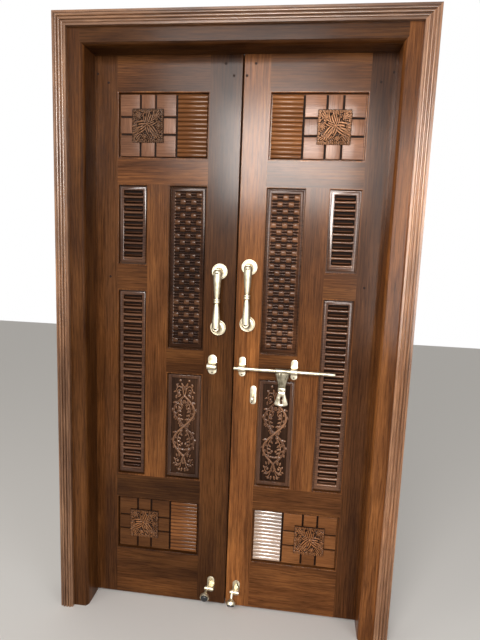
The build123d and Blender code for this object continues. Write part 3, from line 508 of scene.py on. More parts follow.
class Bench:
    """Adds and joins the nodes of one material. A kind of node is its Blender name without ShaderNode."""

    def __init__(self, name: str) -> None:
        """Starts an empty material with its output and its surface shader.

        Args:
            name: Name of the material.
        """
        self.material = bpy.data.materials.new(name)
        self.material.use_nodes = True
        self.tree = self.material.node_tree
        self.tree.nodes.clear()
        self.surface = self.add("BsdfPrincipled")
        self.add("OutputMaterial", self.surface.outputs[0])

    def put(self, value: object, target: Socket) -> None:
        """Links a socket to an input, or sets the input to a plain value.

        Args:
            value: The socket or the plain value.
            target: The input.
        """
        if isinstance(value, Socket):
            self.tree.links.new(value, target)
        else:
            target.default_value = value

    def add(self, kind: str, *inputs: object, **settings: object) -> bpy.types.Node:
        """A new node of a kind, with its inputs and settings.

        Args:
            kind: Kind of the node.
            inputs: Its first inputs in order, each a socket or a plain value.
            settings: Properties by name; a name that is no property is an input, with _ for a space.

        Returns:
            The node.
        """
        node = self.tree.nodes.new("ShaderNode" + kind)
        for value, target in zip(inputs, node.inputs):
            self.put(value, target)
        for key, value in settings.items():
            if key in node.bl_rna.properties:
                setattr(node, key, value)
            else:
                self.put(value, node.inputs[key.replace("_", " ")])
        return node

    def place(self) -> Socket:
        """Place in the object's own frame."""
        return self.add("TexCoord").outputs["Object"]

    def noise(self, place: Socket, **settings: object) -> Socket:
        """Height of a noise at a place."""
        return self.add("TexNoise", place, **settings).outputs["Fac"]

    def maths(self, operation: str, first: object, second: object) -> Socket:
        """Result of a sum of two values, each a socket or a number."""
        return self.add("Math", first, second, operation=operation).outputs[0]

    def ramp(self, source: Socket, stops: list[tuple[float, Colour]]) -> Socket:
        """Colour for each value of a socket, blended between stops.

        Args:
            source: Value to colour.
            stops: Places from 0 to 1 with their colours.

        Returns:
            The colour's socket.
        """
        node = self.add("ValToRGB", source)
        elements = node.color_ramp.elements
        while len(elements) < len(stops):
            elements.new(0.5)
        for element, (place, colour) in zip(elements, stops):
            element.position = place
            element.color = (*colour, 1.0)
        return node.outputs[0]

    def darken(self, share: float, first: Socket, second: Socket) -> Socket:
        """First colour multiplied by the second.

        Args:
            share: How far the second one counts.
            first: First colour.
            second: Second colour.

        Returns:
            The colour's socket.
        """
        node = self.add("Mix", share, data_type="RGBA", blend_type="MULTIPLY")
        self.put(first, node.inputs[6])
        self.put(second, node.inputs[7])
        return node.outputs[2]

    def spread(self, source: Socket, low: float, high: float) -> Socket:
        """A value from 0 to 1 spread between two others."""
        return self.add("MapRange", source, To_Min=low, To_Max=high).outputs[0]

    def finish(
        self, height: Socket | None = None, strength: float = 0.0, distance: float = 0.0, **inputs: object
    ) -> Material:
        """Sets the shader's inputs and the bump of its surface.

        Args:
            height: Height of the bump, or none for a smooth surface.
            strength: Strength of the bump.
            distance: Its depth in metres.
            inputs: The shader's other inputs by name, with _ for a space.

        Returns:
            The material.
        """
        if height is not None:
            bump = self.add("Bump", Strength=strength, Distance=distance, Height=height)
            inputs["Normal"] = bump.outputs[0]
        for key, value in inputs.items():
            self.put(value, self.surface.inputs[key.replace("_", " ")])
        return self.material


@dataclass(frozen=True)
class Teak:
    """Varnished teak: broad tones, thin dark growth lines, fine fibres and short dark pores; on carvings, painted shade
    in the hollows and a painted highlight on the crests.
    """

    dark: Colour = (0.058, 0.0195, 0.0058)
    middle: Colour = (0.138, 0.050, 0.0145)
    light: Colour = (0.262, 0.102, 0.029)
    ring_scale: float = 30.0
    stretch: float = 0.105
    gloss: float = 0.27
    coat: float = 0.16
    coat_gloss: float = 0.17
    specular: float = 0.03
    threads: float = 0.24
    figure: float = 0.60
    uneven: float = 0.72
    # Colour that the crests of a carving are multiplied by: a painted highlight, brighter than the wood where it is
    # over 1.
    painted_crest_highlight: Colour = (1.0, 1.0, 1.0)
    # Colour that the hollows of a carving are multiplied by: painted shade.
    hollow: Colour = (0.16, 0.12, 0.10)

    def toned(self, tone: float) -> Teak:
        """The same teak, lighter or darker by a factor."""
        colours = {key: tuple(part * tone for part in getattr(self, key)) for key in ("dark", "middle", "light")}
        return replace(self, **colours)

    def material(self, name: str, grain: Grain, seed: int, carved: bool = False) -> Material:
        """The finish for one board, whose place in the log follows from the seed.

        Args:
            name: Name of the material.
            grain: Way of the grain.
            seed: Number that sets where in the log the board was cut.
            carved: Whether the relief attribute paints shade into the hollows and highlights onto the crests.

        Returns:
            The material.
        """
        bench = Bench(name)
        draw = np.random.default_rng(seed)
        offset = draw.uniform(-0.20, 0.20, 3)
        offset[1] = draw.uniform(0.03, 0.12)
        tilt = draw.uniform(-0.10, 0.10, 3)
        place = bench.place()
        cut = bench.add(
            "Mapping", Vector=place, Location=tuple(offset), Rotation=tuple(tilt), Scale=grain.drawn(self.stretch)
        ).outputs[0]
        rings = bench.add(
            "TexWave",
            Vector=cut,
            wave_type="RINGS",
            rings_direction=grain.value,
            wave_profile="SAW",
            Scale=self.ring_scale * draw.uniform(0.75, 1.3),
            Distortion=draw.uniform(8.0, 13.0),
            Detail=3.0,
            Detail_Scale=1.1,
            Detail_Roughness=0.55,
        ).outputs["Fac"]
        tone = bench.noise(cut, Scale=draw.uniform(9.0, 15.0), Detail=3.0, Roughness=0.6)
        fibre_cut = bench.add("Mapping", Vector=cut, Scale=grain.drawn(0.35)).outputs[0]
        fibre = bench.noise(fibre_cut, Scale=260.0, Detail=5.0, Roughness=0.72)
        pores = bench.noise(fibre_cut, Scale=620.0, Detail=1.0, Roughness=0.5)
        fine = bench.maths("MULTIPLY", fibre, 0.38)
        mixed = bench.maths("ADD", bench.maths("MULTIPLY", tone, 0.62), fine)
        colour = bench.ramp(mixed, [(0.34, self.dark), (0.49, self.middle), (0.66, self.light)])
        lines = [(0.0, (0.66, 0.60, 0.56)), (0.18, (0.94, 0.92, 0.90)), (0.60, (1, 1, 1)), (0.98, (0.46, 0.40, 0.36))]
        colour = bench.darken(self.figure, colour, bench.ramp(rings, lines))
        threads = bench.ramp(fibre, [(0.38, (0.52, 0.47, 0.45)), (0.54, (1, 1, 1))])
        colour = bench.darken(self.threads, colour, threads)
        pore = bench.ramp(pores, [(0.30, (0.35, 0.35, 0.35)), (0.42, (1, 1, 1))])
        colour = bench.darken(0.6, colour, pore)
        cloud_cut = bench.add("Mapping", Vector=place, Scale=grain.drawn(0.4)).outputs[0]
        cloud = bench.noise(cloud_cut, noise_dimensions="4D", W=float(seed), Scale=7.0, Detail=2.5, Roughness=0.55)
        patch = bench.ramp(cloud, [(0.36, (0.60, 0.55, 0.50)), (0.50, (1, 1, 1)), (0.66, (1.35, 1.30, 1.22))])
        colour = bench.darken(self.uneven, colour, patch)
        if carved:
            # Painted light and shade: the carving's shading attribute darkens the hollows and creases and lifts the
            # crests past the wood's own colour.
            height = bench.add("Attribute", attribute_name="relief").outputs["Fac"]
            shade = bench.ramp(height, [(0.0, self.hollow), (0.5, (0.60, 0.56, 0.53)), (0.97, self.painted_crest_highlight)])
            colour = bench.darken(1.0, colour, shade)
        return bench.finish(
            bench.maths("ADD", fine, pore),
            0.25,
            0.0006,
            Base_Color=colour,
            Roughness=bench.spread(fibre, self.gloss - 0.07, self.gloss + 0.12),
            Specular_IOR_Level=self.specular,
            Coat_Weight=self.coat,
            Coat_Roughness=self.coat_gloss,
        )


@dataclass(frozen=True)
class Metal:
    """Plated brass: one tone with faint cloudy tarnish and fine brush marks."""

    name: str
    bright: Colour
    dull: Colour
    gloss: float

    def material(self) -> Material:
        """Makes the finish.

        Returns:
            The material.
        """
        bench = Bench(self.name)
        place = bench.place()
        cloud = bench.noise(place, Scale=60.0, Detail=4.0, Roughness=0.6)
        return bench.finish(
            bench.noise(place, Scale=900.0, Detail=2.0),
            0.12,
            0.0002,
            Base_Color=bench.ramp(cloud, [(0.36, self.dull), (0.60, self.bright)]),
            Metallic=1.0,
            Roughness=bench.spread(cloud, self.gloss - 0.06, self.gloss + 0.14),
        )


@dataclass(frozen=True)
class Matt:
    """A dull finish with a fine mottle, for rubber and pegs, and near-black painted shadow for screw holes, the gap
    between the leaves and the handles' crescents.
    """

    name: str
    tone: Colour
    pale: Colour
    roughness: float
    specular: float = 0.5

    def material(self) -> Material:
        """Makes the finish.

        Returns:
            The material.
        """
        bench = Bench(self.name)
        grit = bench.noise(bench.place(), Scale=300.0, Detail=3.0)
        return bench.finish(
            grit,
            0.2,
            0.0003,
            Base_Color=bench.ramp(grit, [(0.35, self.tone), (0.70, self.pale)]),
            Roughness=self.roughness,
            Specular_IOR_Level=self.specular,
        )


TILE = Teak(
    (0.134, 0.048, 0.0145), (0.232, 0.087, 0.027), (0.345, 0.138, 0.046), threads=0.12, figure=0.28, uneven=0.35
)
# The carved teaks' crest colours over 1 are painted highlights, and their hollow colours painted shade.
CARVED = Teak(
    (0.235, 0.118, 0.062), (0.375, 0.200, 0.113), (0.525, 0.302, 0.186),
    gloss=0.34, coat=0.14, specular=0.04, threads=0.2, figure=0.3,
    hollow=(0.030, 0.018, 0.012), painted_crest_highlight=(1.75, 1.62, 1.46),
)
TEAKS: dict[str, Teak] = {
    "teak": Teak(),
    "frame": Teak((0.120, 0.055, 0.026), (0.240, 0.120, 0.062), (0.400, 0.220, 0.120), coat=0.4, specular=0.2),
    "tile": TILE,
    "pale": replace(
        TILE, dark=(0.124, 0.055, 0.029), middle=(0.196, 0.090, 0.049), light=(0.285, 0.138, 0.078), coat=0.13
    ),
    "slat": Teak((0.105, 0.043, 0.020), (0.175, 0.078, 0.038), (0.250, 0.120, 0.062), gloss=0.22, coat=0.55),
    "carved": CARVED,
    "golden": replace(CARVED, dark=(0.235, 0.101, 0.041), middle=(0.375, 0.172, 0.075), light=(0.525, 0.260, 0.123)),
    "weave": Teak(
        (0.080, 0.031, 0.0135), (0.140, 0.058, 0.026), (0.205, 0.092, 0.044),
        gloss=0.26, coat=0.10, hollow=(0.08, 0.055, 0.045), painted_crest_highlight=(1.35, 1.50, 1.70),
    ),
    "scroll": Teak(
        (0.100, 0.041, 0.0185), (0.175, 0.077, 0.036), (0.260, 0.124, 0.061),
        gloss=0.18, coat=0.40, specular=0.10, threads=0.2, figure=0.3,
        hollow=(0.09, 0.062, 0.048), painted_crest_highlight=(1.75, 1.90, 2.05),
    ),
    # Dark brown teak of painted shade for the low faces of the scroll panel.
    "floor": Teak(
        (0.022, 0.0095, 0.0048), (0.040, 0.0175, 0.0085), (0.070, 0.031, 0.0145), gloss=0.55, coat=0.0, specular=0.05
    ),
    # Near-black teak of painted shade for the faces in hollows.
    "hollow": Teak(
        (0.010, 0.004, 0.0022), (0.019, 0.0078, 0.0042), (0.032, 0.014, 0.0075), gloss=0.62, coat=0.0, specular=0.06
    ),
    # Glossy teak for the one polished reeded strip; its pale, greyish colour paints part of the strip's near-white
    # reflection into the wood, on top of its real gloss.
    "polished": Teak(
        (0.220, 0.130, 0.085), (0.340, 0.220, 0.150), (0.470, 0.320, 0.230), gloss=0.20, coat=1.0, specular=0.9
    ),
}
# Lightness of each board: partly its own tone and partly painted light and shade, so that the left leaf and jamb are
# mostly darker and the right leaf, jamb and architrave lighter.
TONES_AND_PAINTED_LIGHT: dict[str, float] = {
    "left_hinge_stile": 0.72, "right_hinge_stile": 0.80, "left_meeting_stile": 0.53, "right_meeting_stile": 1.55,
    "left_lower_rail": 0.42, "left_bottom_rail": 0.62, "right_bottom_rail": 1.10, "left_upper_rail": 1.28,
    "left_top_rail": 0.72, "right_top_rail": 1.05, "left_outer_cross_rail": 0.75, "left_inner_cross_rail": 0.70,
    "right_outer_cross_rail": 0.85, "right_muntin": 1.28, "jamb_left": 0.60, "jamb_right": 1.50, "head": 0.42,
    "architrave_right": 1.60, "left_weave_panel": 0.58, "left_scroll_panel": 0.80, "left_bottom_rosette": 0.46,
    "left_top_rosette": 0.35, "right_top_rosette": 1.22, "right_bottom_rosette": 0.90, "right_scroll_panel": 1.15,
    "right_short_louvre": 1.30, "right_long_louvre": 1.30, "right_top_panel_reeds": 1.15, "right_top_panel": 1.72,
    "left_top_panel_reeds": 0.66, "left_top_panel": 1.02, "left_bottom_panel_reeds": 1.00, "left_bottom_panel": 0.46,
    "right_bottom_panel_reeds": 1.15, "right_bottom_panel": 0.98,
}


@dataclass
class Finishes:
    """Every finish of the door, with one teak material to a board."""

    brass: Material = field(init=False)
    satin: Material = field(init=False)
    worn: Material = field(init=False)
    rubber: Material = field(init=False)
    peg: Material = field(init=False)
    shadow: Material = field(init=False)
    hollow: Material = field(init=False)
    floor: Material = field(init=False)
    boards: int = 0

    def __post_init__(self) -> None:
        """Makes the finishes that every piece shares."""
        self.brass = Metal("pale_brass", (0.60, 0.545, 0.415), (0.47, 0.415, 0.290), 0.38).material()
        self.satin = Metal("satin_brass", (0.34, 0.305, 0.225), (0.15, 0.132, 0.092), 0.32).material()
        self.worn = Metal("worn_brass", (0.62, 0.57, 0.44), (0.30, 0.265, 0.19), 0.34).material()
        self.rubber = Matt("black_rubber", (0.006, 0.007, 0.009), (0.018, 0.02, 0.024), 0.38).material()
        self.peg = Matt("dark_peg", (0.012, 0.005, 0.003), (0.035, 0.013, 0.006), 0.7, 0.1).material()
        # Near-black teak of painted shade for the faces in the hollows of the carvings.
        self.hollow = TEAKS["hollow"].material("hollow_teak", Grain.UPRIGHT, 7)
        # Dark brown painted shade for the scroll panel's floor and the feet of its strands.
        self.floor = TEAKS["floor"].material("floor_teak", Grain.UPRIGHT, 8)
        # Near-black painted shadow for screw holes, the gap between the leaves and the handles' crescents.
        self.shadow = Matt("hole_inside", (0.004, 0.003, 0.002), (0.010, 0.007, 0.005), 0.8).material()

    def board(self, name: str, grain: Grain, kind: str = "teak", carved: bool = False) -> Material:
        """Teak for one board, cut from its own place in the log and lighter or darker by its factor in
        TONES_AND_PAINTED_LIGHT, which is partly the board's own tone and partly painted light and shade.

        Args:
            name: Name of the board.
            grain: Way of the grain.
            kind: Which of the teaks.
            carved: Whether the hollows of a carving are darker.

        Returns:
            The material.
        """
        tone = next((value for start, value in TONES_AND_PAINTED_LIGHT.items() if name.startswith(start)), 1.0)
        self.boards += 1
        return TEAKS[kind].toned(tone).material(f"{name}_teak", grain, self.boards + 10, carved)


@dataclass
class Leaf:
    """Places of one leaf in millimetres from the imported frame, and the finishes for it."""

    side: str
    finishes: Finishes
    face: float = field(init=False)

    def __post_init__(self) -> None:
        """Reads where the carved face is."""
        self.face = box_of(f"{self.side}_top_rail")[0][1]

    @property
    def body(self) -> str:
        """Body that the leaf's pieces move with."""
        return f"{self.side}_leaf"

    @property
    def inner(self) -> float:
        """1 where the meeting stile is at the low X side, -1 where it is at the high side."""
        return -1.0 if self.side == "left" else 1.0


def inset(rect: Rect, amount: float) -> Rect:
    """The rectangle drawn in on all four sides."""
    x0, x1, z0, z1 = rect
    return x0 + amount, x1 - amount, z0 + amount, z1 - amount


@dataclass
class Framing:
    """Jambs, head, architrave and the leaves' stiles and rails: packed boards with their own grain."""

    upright: tuple[str, ...] = ("jamb_left", "jamb_right", "architrave_left", "architrave_right")
    level: tuple[str, ...] = ("head", "architrave_top")
    leaf_upright: tuple[str, ...] = ("hinge_stile", "meeting_stile", "muntin")
    leaf_level: tuple[str, ...] = (
        "top_rail", "upper_rail", "lower_rail", "bottom_rail", "outer_cross_rail", "inner_cross_rail"
    )

    def dress(self, finishes: Finishes) -> None:
        """Gives each board teak cut from its own place in the log, lighter or darker by a factor that is partly its own
        tone and partly painted light and shade.

        Args:
            finishes: The door's finishes.
        """
        boards = [(name, Grain.UPRIGHT) for name in self.upright] + [(name, Grain.ACROSS) for name in self.level]
        for side in ("left", "right"):
            boards += [(f"{side}_{name}", Grain.UPRIGHT) for name in self.leaf_upright]
            boards += [(f"{side}_{name}", Grain.ACROSS) for name in self.leaf_level]
        for name, grain in boards:
            kind = "frame" if name.startswith("architrave") else "teak"
            paint_node(name, finishes.board(name, grain, kind))
        log.info("framing: %d boards", len(boards))


@dataclass
class Panel:
    """What the panels share: their place, the moulding of the opening, tongue, dark channel and flat border."""

    leaf: Leaf
    panel: str
    moulding_width: float = 4.2
    proud: float = 0.12
    roll: float = 2.0
    wall: float = 7.0
    channel: float = 5.0
    border: float = 12.0
    face_depth: float = 7.0
    tongue_front: float = 17.3
    tongue_back: float = 26.7
    arris: float = 1.1
    border_tone: float = 0.46

    @property
    def name(self) -> str:
        """Name of the panel's node."""
        return f"{self.leaf.side}_{self.panel}"

    @property
    def rect(self) -> Rect:
        """The opening: the node's box less the tongue that sits in the groove."""
        low, high = box_of(self.name)
        return low[0] + TONGUE, high[0] - TONGUE, low[2] + TONGUE, high[2] - TONGUE

    def edge(self) -> None:
        """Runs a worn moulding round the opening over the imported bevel.

        The roll is d = r (1 - cos a) and y = r (1 - sin a), from the wall to the face.
        """
        angle = np.linspace(0.0, np.pi / 2, 7)
        out = -0.1 + self.roll * (1 - np.cos(angle))
        depth = -self.proud + self.roll * (1 - np.sin(angle))
        end = [(self.moulding_width, -self.proud), (self.moulding_width + 0.3, 0.5)]
        end += [(0.6, self.wall + 0.5), (-0.1, self.wall)]
        shell = frame_shell(self.rect, list(zip(out, depth)) + end, self.leaf.face)
        name = f"{self.name}_moulding"
        finish = self.leaf.finishes.board(name, Grain.UPRIGHT)
        add_piece(name, [shell], finish, self.leaf.body, crease=28)

    def tongue(self, reach: float) -> Shell:
        """Flat ring that sits in the groove.

        Args:
            reach: How far it reaches inwards from the opening's edge.

        Returns:
            The shell.
        """
        front, back = self.tongue_front, self.tongue_back
        section = [(TONGUE, front), (TONGUE, back), (-reach, back), (-reach, front)]
        return frame_shell(self.rect, section, self.leaf.face)

    def flat(self, rect: Rect, depth: float) -> Shell:
        """Flat ground, dull all over.

        Args:
            rect: Left, right, lower and upper side.
            depth: Its depth behind the face.

        Returns:
            The shell.
        """
        x0, x1, z0, z1 = rect
        front, back = np.full((2, 2), self.leaf.face + depth), self.leaf.face + self.tongue_back
        return relief_shell(np.array([x0, x1]), np.array([z0, z1]), front, back, np.zeros((2, 2)))

    def board(self, floor: float) -> list[Shell]:
        """Tongue, border and floor of a panel.

        Args:
            floor: Depth of the floor inside the border.

        Returns:
            Their shells.
        """
        inner = self.channel + self.border
        a, face = self.arris, self.face_depth
        section = [(-self.channel, self.tongue_front + 1), (-self.channel, face + a)]
        section += [(-self.channel - 0.3 * a, face + 0.3 * a), (-self.channel - a, face), (-inner + a, face)]
        section += [(-inner + 0.3 * a, face + 0.3 * a), (-inner, face + a), (-inner, max(floor, self.tongue_front) + 1)]
        border = frame_shell(self.rect, section, self.leaf.face)
        # The border gets a flat darker tone through the same attribute.
        border.relief = np.full(len(border.points), self.border_tone)
        return [self.tongue(inner - 1), border, self.flat(inset(self.rect, inner - 1), floor)]

    def carve(self, shells: list[Shell], grain: Grain, kind: str, crease: float, hollow: Material) -> None:
        """Adds the carved panel in place of its node.

        Args:
            shells: Closed surfaces.
            grain: Way of the grain.
            kind: Which of the teaks.
            crease: Angle in degrees past which an edge stays sharp.
            hollow: Dark finish of painted shade for the hollows.
        """
        finish = self.leaf.finishes.board(self.name, grain, kind, carved=True)
        add_piece(f"{self.name}_carved", shells, finish, self.leaf.body, (self.name,), crease, hollow)


@dataclass
class LouvrePanel(Panel):
    """Slats with a thick rounded nose and a thin bead set back above each."""

    slat_pitch: float = 26.2
    floor: float = 21.0
    nose: float = 8.2
    slat_rise: float = 10.4
    slat_bend: float = 15.0
    bead_front: float = 9.0
    bead_rise: float = 15.4
    bead_half: float = 3.8
    bead_gap: float = 3.0
    bead_ends: tuple = ((0, 0.7), (0.02, 0.92), (0.05, 1), (0.95, 1), (0.98, 0.92), (1, 0.7))
    slat_ends: tuple = ((0, 1.12), (0.03, 1.08), (0.08, 1.0), (0.5, 0.96), (0.92, 1.0), (0.97, 1.08), (1, 1.12))

    def nose_section(self) -> Array:
        """Section of a slat: a rounded nose with a back that slopes up.

        Returns:
            Depth and height above the slat's foot.
        """
        angle = np.linspace(-np.pi / 2, np.pi / 2, 7)
        half = self.nose / 2
        depth = self.face_depth + half * (1 - np.cos(angle)) * 0.9
        back = self.floor + 0.5
        tail = [(self.slat_bend, self.slat_rise), (back, self.slat_rise), (back, 0.0)]
        return np.vstack([np.stack([depth, half + half * np.sin(angle)], axis=-1), tail])

    def build(self) -> None:
        """Builds the louvred panel in place of its node."""
        face = self.leaf.face
        x0, x1, z0, z1 = inset(self.rect, self.channel + self.border)
        count = round((z1 - z0) / self.slat_pitch)
        foot = z0 + np.arange(count) * ((z1 - z0) / count)
        depth, rise = self.nose_section().T
        share, swell = np.array(self.slat_ends).T[:, :, None]
        x = (x0 - 0.3) + share * (x1 - x0 + 0.6)
        y = face + self.face_depth + (depth - self.face_depth) / swell
        slats = [tube_shell(x, y, base + rise * swell) for base in foot]
        spans = np.array([(x0 + self.bead_gap, x1 - self.bead_gap, base + self.bead_rise) for base in foot])
        beads = ridge_shells(spans, self.floor - self.bead_front, self.bead_half, face + self.floor, self.bead_ends)
        # Painted light and shade: the slats' noses lightest and darker with depth, their backs dark, and the set-back
        # beads darker than the noses.
        for shell in slats:
            shell.relief = np.clip(1.0 - (shell.points[:, 1] - face - self.face_depth) / 8.0, 0.0, 1.0)
        for shell in beads:
            shell.relief = np.clip(0.56 - (shell.points[:, 1] - face - self.bead_front) / 12.0, 0.0, 1.0)
        self.carve(self.board(self.floor) + slats + beads, Grain.ACROSS, "slat", 50, self.leaf.finishes.hollow)


@dataclass
class WeavePanel(Panel):
    """Basket weave: barrels in a chequer with two thin ridges in each low place, and scalloped sides."""

    columns: int = 5
    row_pitch: float = 23.6
    floor: float = 14.0
    barrel_half: float = 10.6
    gap: float = 0.5
    ridge_rise: float = 4.6
    ridge_half: float = 4.3
    ridge_spread: float = 4.9
    tooth: float = 4.2
    barrel_ends: tuple = ((0, 0.84), (0.03, 0.92), (0.10, 0.97), (0.5, 1.0), (0.90, 0.97), (0.97, 0.92), (1, 0.84))
    ridge_ends: tuple = ((0, 1), (0.5, 0.94), (1, 1))

    def build(self) -> None:
        """Builds the woven panel in place of its node."""
        x0, x1, z0, z1 = inset(self.rect, self.channel + self.border)
        rows = round((z1 - z0) / self.row_pitch)
        across, up = (x1 - x0) / self.columns, (z1 - z0) / rows
        column, row = np.meshgrid(np.arange(self.columns), np.arange(rows), indexing="ij")
        column, row = column.ravel(), row.ravel()
        raised = (column + row) % 2 == 0
        floor, rise = self.leaf.face + self.floor, self.floor - self.face_depth
        left = x0 + column * across + self.gap / 2
        spans = np.stack([left, left + across - self.gap, z0 + (row + 0.5) * up], axis=-1)
        height = rise * np.random.default_rng(5).uniform(0.94, 1.0, len(spans))
        barrels = ridge_shells(spans[raised], height[raised], self.barrel_half, floor, self.barrel_ends, 11, 0.7)
        ridges = []
        for shift in (-self.ridge_spread, self.ridge_spread):
            moved = spans[~raised] + np.array([0.0, 0.0, shift])
            ridges += ridge_shells(moved, self.ridge_rise, self.ridge_half, floor, self.ridge_ends, 9, 0.8)
        teeth = self.teeth(x0, x1, z0 + (np.arange(2 * rows) + 0.5) * (up / 2), up / 2)
        # Painted light and shade: every part darker towards the floor, the barrels' tops lightest, and the low cells'
        # ridges at most 0.62.
        for group, most in ((barrels, 1.0), (ridges, 0.62), (teeth, 1.0)):
            for shell in group:
                shell.relief = (0.18 + 0.82 * np.clip((floor - shell.points[:, 1]) / rise, 0.0, 1.0) ** 1.2) * most
        shells = self.board(self.floor) + barrels + ridges + teeth
        self.carve(shells, Grain.ACROSS, "weave", 50, self.leaf.finishes.hollow)

    def teeth(self, x0: float, x1: float, places: Array, pitch: float) -> list[Shell]:
        """Scallops along both sides: small half rounds that point into the weave.

        Args:
            x0: Left side of the weave.
            x1: Right side of the weave.
            places: Z of the scallops' middles.
            pitch: Distance from one scallop to the next.

        Returns:
            Their shells.
        """
        angle = np.linspace(-np.pi / 2, np.pi / 2, 7)
        levels = np.array([self.floor, self.face_depth + 1.4, self.face_depth + 0.6])[:, None]
        size = np.array([1.0, 1.0, 0.7])[:, None]
        shells = []
        for (side, inward), z in product(((x0, 1.0), (x1, -1.0)), places):
            x = side - inward * 0.4 + inward * self.tooth * np.cos(angle) * size
            shells.append(tube_shell(x, self.leaf.face + levels, z + 0.42 * pitch * np.sin(angle) * size))
        return shells


@dataclass
class ScrollPanel(Panel):
    """Two crossing strands with crooks, buds and small leaves, cut as one carved surface.

    The tables are for the right-hand half, with places as offset from the middle and share of the height from
    the top. Crooks are half width, height, thinning towards the end and path; buds are place, radius and
    height; leaves are place, angle in degrees, length and half width.
    """

    floor: float = 14.0
    step: float = 1.0
    swing: float = 39.6
    crossings: tuple[float, float] = (0.21, 0.79)
    strand: tuple[float, float] = (4.7, 6.8)
    border_tone: float = 0.40
    crooks: tuple = (
        (3.0, 6.0, 0.3, ((-1, 0.215), (4, 0.185), (6, 0.155), (13, 0.127), (23, 0.125), (30, 0.15), (27, 0.175))),
        (2.0, 4.4, 0.2, ((14, 0.163), (21, 0.155), (27, 0.172), (27, 0.196), (20, 0.207), (15, 0.195))),
        (2.0, 4.2, 0.5, ((2, 0.205), (9, 0.235), (10, 0.262), (5, 0.275))),
        (2.6, 5.4, 0.4, ((33, 0.30), (24, 0.285), (12, 0.30), (8, 0.325), (15, 0.345), (22, 0.335))),
        (2.4, 5.0, 0.6, ((37, 0.40), (28, 0.375), (22, 0.385))),
        (2.4, 5.0, 0.6, ((34, 0.44), (25, 0.415), (19, 0.43))),
        (2.4, 5.0, 0.6, ((22, 0.48), (15, 0.455), (8, 0.452))),
        (2.2, 4.6, 0.5, ((16, 0.535), (27, 0.555), (30, 0.585), (24, 0.60))),
        (2.4, 5.0, 0.5, ((38, 0.60), (29, 0.612), (23, 0.635), (26, 0.655))),
        (2.4, 5.0, 0.6, ((36, 0.655), (28, 0.665), (22, 0.69))),
        (2.2, 4.6, 0.6, ((29, 0.705), (20, 0.705), (13, 0.725))),
        (3.0, 6.0, 0.3, ((-1, 0.785), (5, 0.82), (9, 0.855), (19, 0.875), (28, 0.86), (29, 0.83), (22, 0.815))),
        (2.6, 5.2, 0.4, ((8, 0.85), (11, 0.885), (17, 0.912), (25, 0.915))),
        (1.6, 3.6, 0.3, ((44, 0.33), (46, 0.355), (43, 0.38))),
        (1.6, 3.6, 0.3, ((43, 0.62), (46, 0.645), (43, 0.67))),
    )
    buds: tuple = (
        (21.5, 0.185, 5.4, 6.6), (16.5, 0.068, 4.8, 6.2), (28.0, 0.108, 4.4, 6.2), (31.0, 0.232, 4.0, 5.6),
        (9.0, 0.272, 3.6, 5.2), (17.0, 0.328, 5.0, 6.6), (0.0, 0.498, 6.0, 7.0), (10.5, 0.543, 6.0, 6.6),
        (7.5, 0.671, 4.8, 6.4), (2.5, 0.728, 4.0, 6.0), (21.0, 0.838, 5.2, 6.6), (17.0, 0.925, 5.2, 6.4),
        (31.0, 0.888, 3.8, 5.2),
    )
    end_leaves: tuple = (
        (3.0, 0.16, 100, 17, 4.6), (5.0, 0.13, 66, 17, 4.2), (26.0, 0.13, 60, 12, 3.8), (31.0, 0.17, -20, 11, 3.8),
        (13.0, 0.20, -40, 16, 4.4), (30.0, 0.205, -75, 13, 4.0), (2.0, 0.25, -88, 15, 3.6), (9.0, 0.83, -118, 17, 4.2),
        (12.0, 0.865, -40, 16, 4.2), (29.0, 0.835, 50, 12, 3.8), (20.0, 0.89, 20, 13, 3.8), (3.0, 0.80, -90, 15, 3.8),
        (5.0, 0.905, -80, 15, 4.0), (24.0, 0.80, 75, 12, 3.8), (33.0, 0.862, -30, 9, 3.4),
    )

    @property
    def lobes(self) -> tuple[tuple[float, float], float]:
        """Share of the height where each of the two lobes starts, and how tall a lobe is."""
        first, last = self.crossings
        return (first, (first + last) / 2), (last - first) / 2

    def curves(self) -> list[tuple[float, float, float, Array]]:
        """The strand, the two bows inside its lobes and the crooks.

        Returns:
            Half width, height, thinning and path of each.
        """
        starts, lobe = self.lobes
        share = np.linspace(*self.crossings, 60)
        bow = self.swing * np.sin(np.pi * (share - starts[0]) / lobe)
        found = [(*self.strand, 0.0, np.stack([bow, share], axis=-1))]
        for start in starts:
            share = np.linspace(start + 0.05, start + 0.235, 24)
            bow = self.swing * np.sin(np.pi * (share - start) / lobe)
            found.append((2.3, 5.4, 0.35, np.stack([0.66 * np.abs(bow) - 2.0, share], axis=-1)))
        return found + [(half, full, thin, smooth_path(points)) for half, full, thin, points in self.crooks]

    def leaves(self, tall: float) -> list[tuple[float, float, float, float, float]]:
        """Small leaves, some along the strand and its bows and some at the crooks.

        A strand's slope is swing * pi * cos over the height of a lobe, and a leaf turns 50 degrees from it, to
        one side and the other in turn.

        Args:
            tall: Height of the opening.

        Returns:
            Leaves in the form of the leaves' table.
        """
        (first, last), (starts, lobe) = self.crossings, self.lobes
        found = []
        for order, share in enumerate(np.linspace(first + 0.035, last - 0.035, 17)):
            phase = math.pi * (share - first) / lobe
            way = math.degrees(math.atan2(-tall, self.swing * math.pi / lobe * math.cos(phase)))
            offset = self.swing * math.sin(phase)
            length = 17.0 if abs(offset) < 30 else 11.5
            found.append((offset, float(share), way + (50 if order % 2 else -50), length, 5.4))
        for start in starts:
            for share in np.linspace(start + 0.07, start + 0.22, 5):
                offset = 0.66 * abs(self.swing * math.sin(math.pi * (share - start) / lobe)) - 2.0
                found.append((offset, float(share), -140 if share < start + lobe / 2 else -165, 14.0, 4.2))
        return found + list(self.end_leaves)

